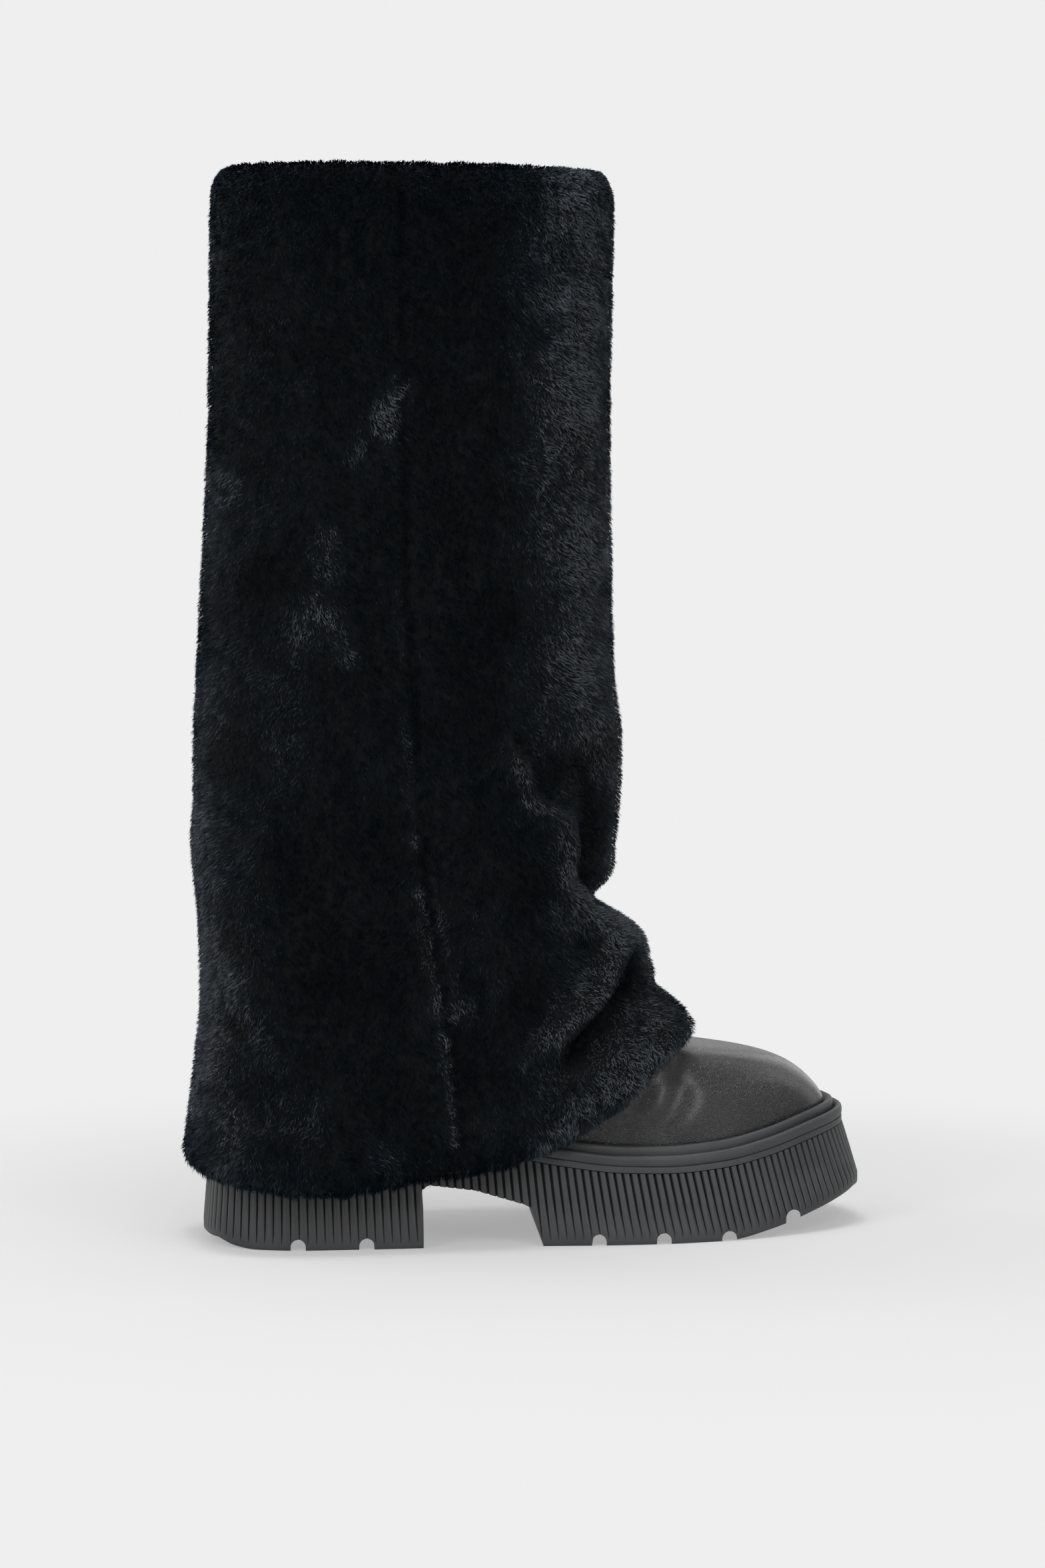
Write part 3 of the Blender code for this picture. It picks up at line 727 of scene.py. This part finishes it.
def arch_outline():
    back = -HEEL_BACK + HEEL_BREAST * SOLE_LENGTH
    front = -HEEL_BACK + FOREFOOT_BACK * SOLE_LENGTH
    points = [(back, -BED_HEIGHT, 0.0)]
    for turn in range(0, 91, 15):
        bend = math.radians(turn)
        x = back + ARCH_CORNER * (1 - math.cos(bend))
        points.append((x, ARCH_BACK_HEIGHT - ARCH_CORNER * (1 - math.sin(bend)), 0.0))
    points.append((front - ARCH_CORNER, ARCH_FRONT_HEIGHT, 1.0))
    points.append((front, ARCH_FRONT_HEIGHT - ARCH_CORNER / 2, 1.0))
    points.append((front + BLOCK_LEAN, 0.0, 1.0))
    points.append((front + BLOCK_LEAN, -BED_HEIGHT, 1.0))
    return points


def channel_cutter(name, share, skew):
    """A round-topped channel that follows the rise of the tread on its way across."""
    lateral = -HEEL_BACK + share * SOLE_LENGTH
    middle = lateral + skew * BALL_HALF_WIDTH
    start, ground, end = tread(np.array((lateral, middle, 2 * middle - lateral)))
    radius = CHANNEL_WIDTH / 2
    points = [(middle - radius, ground - BED_HEIGHT / 2, 1.0)]
    for turn in range(0, 181, 15):
        bend = math.radians(turn)
        height = ground + CHANNEL_HEIGHT - radius * (1 - math.sin(bend))
        points.append((middle - radius * math.cos(bend), height, 1.0))
    points.append((middle + radius, ground - BED_HEIGHT / 2, 1.0))
    return cutter(name, points, skew, (end - start) / (2 * BALL_HALF_WIDTH))


def cut_sole(sole):
    cutters = [cutter("arch", arch_outline(), ARCH_SKEW, 0.0)]
    cutters += [channel_cutter(f"channel_{k}", share, skew) for k, (share, skew) in enumerate(CHANNELS)]
    for item in cutters:
        cut = sole.modifiers.new(item.name, "BOOLEAN")
        cut.operation = "DIFFERENCE"
        cut.solver = "EXACT"
        cut.object = item
    graph = bpy.context.evaluated_depsgraph_get()
    shaped = bpy.data.meshes.new_from_object(sole.evaluated_get(graph))
    sole.modifiers.clear()
    sole.data = shaped
    for item in cutters:
        bpy.data.objects.remove(item, do_unlink=True)


def make_sole():
    plan = sole_plan()
    around = np.hypot(*np.diff(np.vstack((plan, plan[:1])), axis=0).T).sum()
    half = round(around / RIB_PITCH / 2)
    ribs = np.arange(2 * half)[:, None]
    taper = 2 * TREAD_BORDER
    rows = []
    samples = len(RIB_LAND) + len(RIB_GROOVE)
    for row in range(RIB_ROWS + 1):
        lean = row / RIB_ROWS
        width = RIB_TOP_WIDTH + (RIB_FOOT_WIDTH - RIB_TOP_WIDTH) * lean
        across, depth = rib_profile(width)
        places = ((ribs + across[None, :]) / half).ravel()
        deep = RIB_DEPTH * (1 - (1 - RIB_FOOT_DEPTH) * lean**2)
        height = lambda x, lean=lean: bed(x) + (tread(x) + taper - bed(x)) * lean
        rows.append(wall_ring(plan, places, lean, np.tile(depth, 2 * half) * deep, height))
    smooth = ((ribs + rib_profile(RIB_FOOT_WIDTH)[0][None, :]) / half).ravel()
    for depth, rise in ((0.0, 1.0), (0.0, 0.55), (0.10, 0.25), (0.45, 0.06), (1.0, 0.0)):
        height = lambda x, rise=rise: tread(x) + TREAD_BORDER * rise
        rows.append(wall_ring(plan, smooth, 1.0, TREAD_EDGE * depth, height))
    grid = np.array(rows)
    count = 2 * half * samples
    faces = [tube_faces(len(rows), count, False)[:, ::-1]]
    faces += cap_faces(0, count, False) + cap_faces((len(rows) - 1) * count, count, True)
    rubber = rubber_material("sole rubber", (0.024, 0.025, 0.027), (0.033, 0.034, 0.036), 0.48, 0.60)
    sole = make_object("ribbed_sole", grid.reshape(-1, 3), faces, rubber)
    cut_sole(sole)
    sole.data.shade_smooth()
    sole.data.set_sharp_from_angle(angle=math.radians(SOLE_SHARP))
    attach(sole, ROOT)
    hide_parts("outsole")


def inset_ring(inset, rise, around):
    point, normal = walk(sole_plan(), even(around))
    point = point - normal * inset
    return np.column_stack((point, bed(point[:, 0]) + rise))


def make_welt():
    inner = WELT_INSET - GAP
    rings = []
    for inset, rise in WELT_STEPS:
        rings.append(inset_ring(inset * WELT_INSET, GAP + rise * (WELT_HEIGHT - GAP), WELT_AROUND))
    rings += [inset_ring(inner, share * WELT_HEIGHT + GAP, WELT_AROUND) for share in (0.85, 0.0)]
    faces = [tube_faces(len(rings), WELT_AROUND, True)]
    rubber = rubber_material("welt rubber", (0.023, 0.024, 0.026), (0.031, 0.032, 0.034), 0.46, 0.58)
    welt = make_object("rolled_welt", np.array(rings).reshape(-1, 3), faces, rubber, WELT_SHARP)
    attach(welt, ROOT)
    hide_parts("welt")


def foot_ring(row, around):
    back, back_rise, front, front_rise, half, squareness, oval = row
    start, end = -HEEL_BACK + back * SOLE_LENGTH, -HEEL_BACK + front * SOLE_LENGTH
    curve = loop_curve(start, end, half * BALL_HALF_WIDTH, squareness, oval)
    point, _ = walk(curve, even(around))
    rise = back_rise + (front_rise - back_rise) * (point[:, 0] - start) / (end - start)
    return np.column_stack((point, BED_HEIGHT + rise * FOOT_RISE))


def vamp_relief(x, z):
    """Soft wrinkles of the vamp where the fur's hem meets it."""
    total = np.zeros(np.shape(x))
    for height, behind, ahead, line in VAMP_FOLDS:
        total += height * LEATHER * ridge(x, z, behind / 1000, ahead / 1000, line)
    return total * clamp((z - bed(x) - WELT_HEIGHT) / 0.006, 0.0, 1.0)


def make_upper():
    rings = [inset_ring(WELT_INSET, GAP, UPPER_AROUND), inset_ring(WELT_INSET, WELT_HEIGHT, UPPER_AROUND)]
    rings += [foot_ring(row, UPPER_AROUND) for row in FOOT]
    rings += [shaft_ring(level, -GAP, around=UPPER_AROUND) for level in COLLAR_LEVELS]
    outside = smooth_rows(rings, UPPER_STEPS)
    outside[UPPER_STEPS:] = relax(outside[UPPER_STEPS:], UPPER_ROUNDING)
    upright = UPPER_STEPS + 1
    normal = grid_normals(outside)
    relief = vamp_relief(outside[:, :, 0], outside[:, :, 2])
    relief[:upright] = 0.0
    outside = outside + normal * relief[:, :, None]
    flat = normal.copy()
    flat[:upright, :, 2] = 0.0
    flat[-2:, :, 2] = 0.0
    flat /= np.linalg.norm(flat, axis=2, keepdims=True)
    inside = (outside - flat * LEATHER)[::-1]
    grid = np.vstack((outside, inside))
    faces = [tube_faces(len(grid), UPPER_AROUND, True)]
    dark, light = (0.0075, 0.0077, 0.0086), (0.0115, 0.0117, 0.013)
    leather = leather_material("vamp leather", dark, light, 0.29, 0.38, 0.75)
    upper = make_object("leather_upper", grid.reshape(-1, 3), faces, leather, UPPER_SHARP)
    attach(upper, ROOT)
    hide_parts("upper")


def fur_outside():
    """Loops of the lambskin under its pile, from the hem's edge round to the rolled top."""
    depth = FUR - PILE
    rings = [shaft_ring(p, out * depth, f, creases=f) for p, out, f in HEM_ROLL]
    for i in range(FUR_ROWS + 1):
        level = OUTSIDE_START + (1.0 - OUTSIDE_START) * i / FUR_ROWS
        rings.append(shaft_ring(level, depth, 1.0, creases=1.0))
    rings += [shaft_ring(1.0, out * depth, 0.0, rise * LIP_RISE) for out, rise in TOP_ROLL]
    return np.array(rings)


def make_fur_base(outside):
    lip = -(GAP + LEATHER)
    rings = [shaft_ring(1.0, lip, 0.0, 0.5 * LIP_RISE), shaft_ring(1.0, lip, 0.0, GAP)]
    rings += [shaft_ring(1.0, 0.0, 0.0, GAP)]
    rings += [shaft_ring(level, 0.0, 0.5) for level in INSIDE_LEVELS]
    grid = np.vstack((outside, np.array(rings)))
    faces = [tube_faces(len(grid), FUR_AROUND, True)]
    base = make_object("lambskin_base", grid.reshape(-1, 3), faces, skin_material(), FUR_SHARP)
    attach(base, ROOT)
    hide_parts("shaft")


# Painted strokes: positive ones are painted sheen and highlight on fold crests and lit patches of
# the pile, negative ones painted shade in the hollows. Spreads are in millimetres on either side
# of the line, as for the folds, and points in the same shares.
SHEEN_AND_SHADE_STROKES = (
    # strength, behind, ahead, points
    (0.40, 6.0, 5.0, ((0.262, 0.792), (0.252, 0.775), (0.244, 0.750))),
    (0.38, 5.0, 5.0, ((0.226, 0.764), (0.218, 0.752))),
    (0.36, 4.5, 4.5, ((0.200, 0.732), (0.186, 0.720))),
    (0.16, 6.0, 6.0, ((0.252, 0.735), (0.246, 0.705))),
    (0.26, 6.0, 6.0, ((-0.002, 0.700), (0.004, 0.688))),
    (0.30, 7.0, 7.0, ((0.146, 0.632), (0.154, 0.608))),
    (0.22, 5.0, 5.0, ((0.134, 0.575), (0.132, 0.555))),
    (0.24, 8.0, 8.0, ((0.112, 0.552), (0.108, 0.530))),
    (0.26, 5.0, 5.0, ((0.158, 0.556), (0.168, 0.530), (0.186, 0.505))),
    (0.10, 9.0, 9.0, ((0.095, 0.500), (0.090, 0.400))),
    (0.12, 3.0, 2.0, ((0.250, 0.880), (0.252, 0.800))),
    (0.18, 3.0, 2.0, ((0.252, 0.600), (0.260, 0.509))),
    (0.30, 5.0, 2.0, ((0.270, 0.439), (0.278, 0.380), (0.284, 0.318))),
    (0.42, 5.0, 2.0, ((0.287, 0.262), (0.300, 0.200), (0.314, 0.144))),
    (0.42, 4.0, 2.0, ((0.322, 0.110), (0.332, 0.060), (0.338, 0.000))),
    (0.20, 2.0, 4.0, ((0.300, 0.270), (0.322, 0.190), (0.336, 0.130))),
    (0.15, 14.0, 14.0, ((0.355, 0.230), (0.385, 0.200))),
    (0.20, 7.0, 7.0, ((0.339, 0.137), (0.375, 0.146), (0.409, 0.162))),
    (0.34, 4.0, 2.5, ((0.437, 0.404), (0.441, 0.385), (0.450, 0.366))),
    (0.36, 7.0, 2.0, ((0.462, 0.358), (0.490, 0.350), (0.520, 0.334), (0.530, 0.312), (0.526, 0.290))),
    (0.38, 7.0, 2.0, ((0.530, 0.280), (0.560, 0.252), (0.588, 0.232), (0.610, 0.212))),
    (0.42, 7.0, 2.0, ((0.608, 0.206), (0.596, 0.182), (0.570, 0.158), (0.536, 0.134), (0.490, 0.106))),
    (0.12, 7.0, 7.0, ((0.478, 0.240), (0.500, 0.232))),
    (0.16, 6.0, 6.0, ((0.624, 0.225), (0.650, 0.204), (0.658, 0.176))),
    (0.16, 9.0, 9.0, ((0.680, 0.135), (0.629, 0.088), (0.549, 0.039), (0.469, -0.003))),
    (0.34, 6.0, 6.0, ((-0.048, 0.420), (-0.030, 0.277), (-0.013, 0.172), (-0.018, 0.067))),
    (0.14, 7.0, 7.0, ((0.010, 0.180), (0.030, 0.120), (0.060, 0.090))),
    (0.16, 6.0, 6.0, ((0.080, 0.050), (0.130, 0.040))),
    (-0.20, 12.0, 12.0, ((0.470, 0.360), (0.470, 0.260), (0.430, 0.130))),
    (-0.12, 16.0, 16.0, ((0.120, 0.300), (0.150, 0.150))),
    (0.22, 9.0, 9.0, ((-0.010, 0.030), (0.010, 0.010))),
    (0.12, 8.0, 8.0, ((0.050, 0.020), (0.120, 0.014))),
    (0.24, 6.0, 6.0, ((0.225, -0.012), (0.245, -0.022))),
    (0.20, 6.0, 6.0, ((0.395, 0.020), (0.380, 0.014))),
    (0.18, 10.0, 10.0, ((0.529, 0.985), (0.545, 0.960))),
    (0.20, 11.0, 11.0, ((0.556, 0.720), (0.560, 0.600))),
    (0.22, 13.0, 13.0, ((0.535, 0.880), (0.520, 0.700), (0.540, 0.520))),
    (-0.30, 7.0, 9.0, ((0.500, 0.392), (0.545, 0.380), (0.560, 0.345), (0.552, 0.305))),
    (-0.36, 2.0, 6.0, ((0.628, 0.190), (0.606, 0.160), (0.570, 0.128), (0.515, 0.094))),
    (-0.16, 8.0, 8.0, ((0.560, 0.205), (0.500, 0.180))),
    (-0.10, 14.0, 14.0, ((0.300, 0.900), (0.310, 0.700), (0.380, 0.480))),
)

# How light the pile is painted along the boot: painted sheen at its back edge, little in its middle, and
# painted light on the lit side towards its shin
PAINTED_LIGHT_BANDS = np.array((
    # along, tone
    (-0.06, 0.46),
    (0.00, 0.36),
    (0.06, 0.22),
    (0.14, 0.11),
    (0.26, 0.05),
    (0.38, 0.07),
    (0.44, 0.26),
    (0.50, 0.47),
    (0.57, 0.58),
    (0.74, 0.44),
))
# Strength of the painted sheen, highlight and shade strokes
PAINTED_STROKE_STRENGTH = 2.3
STREAK_STRETCH = (1.0, 1.0, 0.4)


def pile_tone_and_painted_light(points, rng):
    """How light the pile is at each hair, from 0 to 1: its own random tone, with painted sheen and highlight
    and painted shade.
    """
    x, y, z = points.T
    tone = reader(PAINTED_LIGHT_BANDS, 1)((x + HEEL_BACK) / SOLE_LENGTH)
    tone = 0.08 + tone * (1 + 0.45 * mottle(points, 0.030, 3) + 0.35 * mottle(points, 0.012, 4))
    streaks = mottle(points * STREAK_STRETCH, 0.0014, 8)
    patchy = 0.62 + 0.38 * mottle(points, 0.006, 6) + 0.2 * streaks
    for strength, behind, ahead, line in SHEEN_AND_SHADE_STROKES:
        tone += PAINTED_STROKE_STRENGTH * strength * patchy * ridge(x, z, behind / 1000, ahead / 1000, line)
    # Painted highlight on the fold crests and painted shade in their hollows
    crest = fold_height(x, y, z, FOLDS + CREASES) / FUR
    tone += 0.10 * np.maximum(crest, 0.0) + 0.16 * np.minimum(crest, 0.0)
    # Painted shade along the seam's valley
    tone -= 0.32 * seam_ridge(x, z, 0.0013, 0.0013)
    tone += 0.10 * mottle(points, 0.010, 7) + (0.09 + 0.15 * tone) * mottle(points, 0.0035, 5)
    tone += (0.05 + 0.15 * tone) * streaks
    return tone + 0.10 * rng.normal(size=len(points))


def unit(vectors):
    return vectors / np.linalg.norm(vectors, axis=1, keepdims=True)


def scatter(grid, rng):
    """Random places all over the rows of a tube, denser at both ends."""
    rows, around = grid.shape[:2]
    normal = grid_normals(grid)
    side = np.roll(grid, -1, axis=1)[:-1] - grid[:-1]
    up = grid[1:] - grid[:-1]
    area = np.linalg.norm(np.cross(side, up), axis=2)
    level = np.arange(rows - 1)[:, None] / (rows - 1)
    area = area * (1 + 2.6 * np.exp(-(1 - level) / 0.04) + 0.8 * np.exp(-level / 0.04))
    chance = area.ravel() / area.sum()
    cell = np.sort(rng.choice(area.size, HAIRS, p=chance))
    i, j = cell // around, cell % around
    on = (j + 1) % around
    a, b = rng.random((2, HAIRS, 1))

    def blend(field):
        low = field[i, j] * (1 - a) + field[i, on] * a
        high = field[i + 1, j] * (1 - a) + field[i + 1, on] * a
        return low * (1 - b) + high * b

    return blend(grid), unit(blend(normal)), (j + a[:, 0]) / around, (i + b[:, 0]) / (rows - 1)


def hem_ruffle(up):
    """How ruffled the pile is: 1 at the hem, fading a fifth of the way up."""
    return np.exp(-((up / 0.16) ** 2))


def make_pile(outside):
    """Hairs as thin bent kites, combed down over the lambskin."""
    rng = np.random.default_rng(HAIR_SEED)
    root, normal, around, up = scatter(outside, rng)
    x, _, z = root.T
    down = np.zeros_like(root)
    down[:, 2] = -1.0
    down += 0.25 * normal * (1, 1, 0)
    down = unit(down - (down * normal).sum(1)[:, None] * normal)
    side = np.cross(normal, down)
    seam = seam_ridge(x, z, 0.005, 0.004) * (0.4 + 0.6 * hem_ruffle(up / 3))
    hem = np.exp(-up / 0.035)
    rim = np.exp(-(1 - up) / 0.045)
    swirl = 0.8 * mottle(root, 0.024, 21) + 0.55 * (1 + hem_ruffle(up)) * mottle(root, 0.006, 22)
    swirl += 0.35 * rng.normal(size=HAIRS) + seam * 0.8 * rng.normal(size=HAIRS)
    rough = 1 + 0.9 * hem_ruffle(up)
    lift = HAIR_LIFT + 14 * rough * mottle(root, 0.005, 23) + 9 * rng.normal(size=HAIRS)
    lift += 6 * rim - 14 * hem + 10 * seam
    lift = np.radians(clamp(lift, 8.0, 84.0))[:, None]
    comb = down * np.cos(swirl)[:, None] + side * np.sin(swirl)[:, None]
    way = unit(normal * np.sin(lift) + comb * np.cos(lift))
    long = HAIR_LENGTH * clamp(1 + 0.14 * rng.normal(size=HAIRS), 0.5, 1.5)
    long *= (1 + (0.6 + 0.5 * mottle(root, 0.0045, 25)) * hem)
    long *= 1 - 0.34 * rim + 0.16 * rim * mottle(root, 0.003, 24)
    long = long[:, None]
    across = unit(np.cross(way, normal) + 0.5 * rng.normal(size=(HAIRS, 3)))
    wide = HAIR_WIDTH * clamp(1 + 0.25 * rng.normal(size=(HAIRS, 1)), 0.5, 1.8) * (1 + 0.9 * rim[:, None])
    middle = root + way * long * 0.6 + normal * long * 0.06
    tip = root + way * long - normal * long * 0.04 + comb * long * 0.08
    root = root - normal * HAIR_ROOT
    corners = np.stack((root, middle - across * wide / 2, tip, middle + across * wide / 2), axis=1)
    # Painted shade darkens the hairs of the top rim
    tone = pile_tone_and_painted_light(corners[:, 2], rng) - 0.10 * rim
    index = clamp(np.floor(tone * len(HAIR_TONES)), 0, len(HAIR_TONES) - 1).astype(np.int32)
    order = np.argsort(around, kind="stable")
    materials = hair_materials()
    for name, chosen in zip(HAIR_PIECES, np.array_split(order, len(HAIR_PIECES))):
        first = 4 * np.arange(len(chosen))[:, None]
        faces = np.concatenate((first + (0, 1, 3), first + (1, 2, 3)), axis=1).reshape(-1, 3)
        piece = make_object(name, corners[chosen].reshape(-1, 3), [faces], materials[0])
        for material in materials[1:]:
            piece.data.materials.append(material)
        piece.data.polygons.foreach_set("material_index", np.repeat(index[chosen], 2))
        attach(piece, ROOT)


def dress_insole():
    """A plain lining leather for the insole, which keeps its own mesh."""
    leather = leather_material("insole lining", (0.030, 0.028, 0.027), (0.040, 0.037, 0.035), 0.6, 0.75, 0.12)
    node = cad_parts["insole"]
    if not node.material_slots:
        node.data.materials.append(leather)
    for slot in node.material_slots:
        slot.material = leather


# Stage: tones, where the floor turns from lit to plain, and the backdrop's radii and heights
BACKDROP = 0.863
FLOOR_SIZE = 8.0
FLOOR_NEAR = 0.20
FLOOR_FAR = 0.50
FLOOR_GLOW = 0.42
FLOOR_WHITE = 0.28
WORLD_GLOW = 0.14
BACKDROP_AROUND = 48
BACKDROP_ROWS = ((3.9, -0.4), (3.9, 3.0), (0.4, 5.0))


def floor_material():
    """White floor that catches soft shadow near the boot and fades to the backdrop's tone."""
    material = bpy.data.materials.new("pale floor")
    material.use_nodes = True
    tree = material.node_tree
    tree.nodes.clear()
    place = tree.nodes.new("ShaderNodeTexCoord")
    length = tree.nodes.new("ShaderNodeVectorMath")
    length.operation = "LENGTH"
    tree.links.new(place.outputs["Object"], length.inputs[0])
    ramp = tree.nodes.new("ShaderNodeMapRange")
    ramp.interpolation_type = "SMOOTHSTEP"
    ramp.inputs["From Min"].default_value = FLOOR_NEAR
    ramp.inputs["From Max"].default_value = FLOOR_FAR
    tree.links.new(length.outputs["Value"], ramp.inputs["Value"])
    lit = tree.nodes.new("ShaderNodeBsdfDiffuse")
    lit.inputs["Color"].default_value = (FLOOR_WHITE, FLOOR_WHITE, FLOOR_WHITE, 1.0)
    glow = tree.nodes.new("ShaderNodeEmission")
    glow.inputs["Color"].default_value = (BACKDROP, BACKDROP, BACKDROP, 1.0)
    glow.inputs["Strength"].default_value = FLOOR_GLOW
    near = tree.nodes.new("ShaderNodeAddShader")
    tree.links.new(lit.outputs[0], near.inputs[0])
    tree.links.new(glow.outputs[0], near.inputs[1])
    plain = tree.nodes.new("ShaderNodeEmission")
    plain.inputs["Color"].default_value = (BACKDROP, BACKDROP, BACKDROP, 1.0)
    mix = tree.nodes.new("ShaderNodeMixShader")
    tree.links.new(ramp.outputs["Result"], mix.inputs["Fac"])
    tree.links.new(near.outputs[0], mix.inputs[1])
    tree.links.new(plain.outputs[0], mix.inputs[2])
    out = tree.nodes.new("ShaderNodeOutputMaterial")
    tree.links.new(mix.outputs[0], out.inputs["Surface"])
    return material


def make_stage():
    half = FLOOR_SIZE / 2
    corners = np.array(((-half, -half, 0.0), (half, -half, 0.0), (half, half, 0.0), (-half, half, 0.0)))
    floor = make_object("floor", corners, [np.array(((0, 1, 2, 3),))], floor_material())
    floor.location.x = 0.1
    material = bpy.data.materials.new("plain backdrop")
    material.use_nodes = True
    tree = material.node_tree
    tree.nodes.clear()
    glow = tree.nodes.new("ShaderNodeEmission")
    glow.inputs["Color"].default_value = (BACKDROP, BACKDROP, BACKDROP, 1.0)
    out = tree.nodes.new("ShaderNodeOutputMaterial")
    tree.links.new(glow.outputs[0], out.inputs["Surface"])
    count = BACKDROP_AROUND
    turn = 2 * np.pi * np.arange(count) / count
    ring = np.stack((np.cos(turn), np.sin(turn)), axis=1)
    rows = [np.column_stack((ring * r, np.full(count, z))) for r, z in BACKDROP_ROWS]
    faces = [tube_faces(3, count, False)] + cap_faces(2 * count, count, False)
    backdrop = make_object("backdrop", np.array(rows).reshape(-1, 3), faces, material)
    backdrop.visible_diffuse = False
    backdrop.visible_glossy = False
    backdrop.visible_shadow = False


# Lights: power in watts, size in metres, place, and what they face
LIGHTS = (
    # name, power, width, height, place, target
    ("overhead", 26.0, 1.1, 0.8, (-0.02, -0.06, 1.60), (0.10, 0.0, 0.0)),
    ("right", 3.2, 0.5, 1.3, (1.45, 0.30, 0.70), (0.10, 0.0, 0.20)),
    ("right_rim", 2.2, 0.5, 1.2, (0.95, 0.95, 0.60), (0.10, 0.0, 0.22)),
    ("left", 16.0, 0.8, 1.2, (-1.10, -0.95, 0.95), (0.10, 0.0, 0.15)),
    ("left_rim", 5.0, 0.5, 1.2, (-1.05, 0.75, 0.60), (0.05, 0.0, 0.22)),
    ("front", 13.0, 1.3, 0.7, (0.30, -1.70, 1.50), (0.10, 0.0, 0.10)),
    ("back", 10.0, 3.6, 1.8, (0.10, 2.40, 0.90), (0.10, 0.0, 0.20)),
    ("gloss", 5.0, 0.35, 0.80, (0.88, -1.48, 0.38), (0.16, -0.04, 0.06)),
)


def make_lights():
    for name, power, width, height, place, target in LIGHTS:
        data = bpy.data.lights.new(name, "AREA")
        data.shape = "RECTANGLE"
        data.energy = power
        data.size, data.size_y = width, height
        lamp = bpy.data.objects.new(name, data)
        bpy.context.scene.collection.objects.link(lamp)
        lamp.location = place
        lamp.visible_camera = False
        lamp.rotation_mode = "QUATERNION"
        lamp.rotation_quaternion = (Vector(target) - Vector(place)).to_track_quat("-Z", "Y")
    world = bpy.data.worlds.new("studio")
    world.use_nodes = True
    world.node_tree.nodes["Background"].inputs["Color"].default_value = (1.0, 1.0, 1.0, 1.0)
    world.node_tree.nodes["Background"].inputs["Strength"].default_value = WORLD_GLOW
    bpy.context.scene.world = world


def make_camera():
    data = bpy.data.cameras.new("camera")
    data.lens = CAMERA_LENS
    data.sensor_width = CAMERA_SENSOR
    data.clip_start, data.clip_end = 0.05, 50.0
    camera = bpy.data.objects.new("camera", data)
    bpy.context.scene.collection.objects.link(camera)
    camera.location = CAMERA_PLACE
    camera.rotation_mode = "QUATERNION"
    way = Vector(CAMERA_TARGET) - Vector(CAMERA_PLACE)
    camera.rotation_quaternion = way.to_track_quat("-Z", "Y")
    bpy.context.scene.camera = camera


make_sole()
make_welt()
make_upper()
dress_insole()
fur = fur_outside()
make_fur_base(fur)
make_pile(fur)
make_stage()
make_lights()
make_camera()
bpy.context.scene.view_settings.view_transform = "Standard"
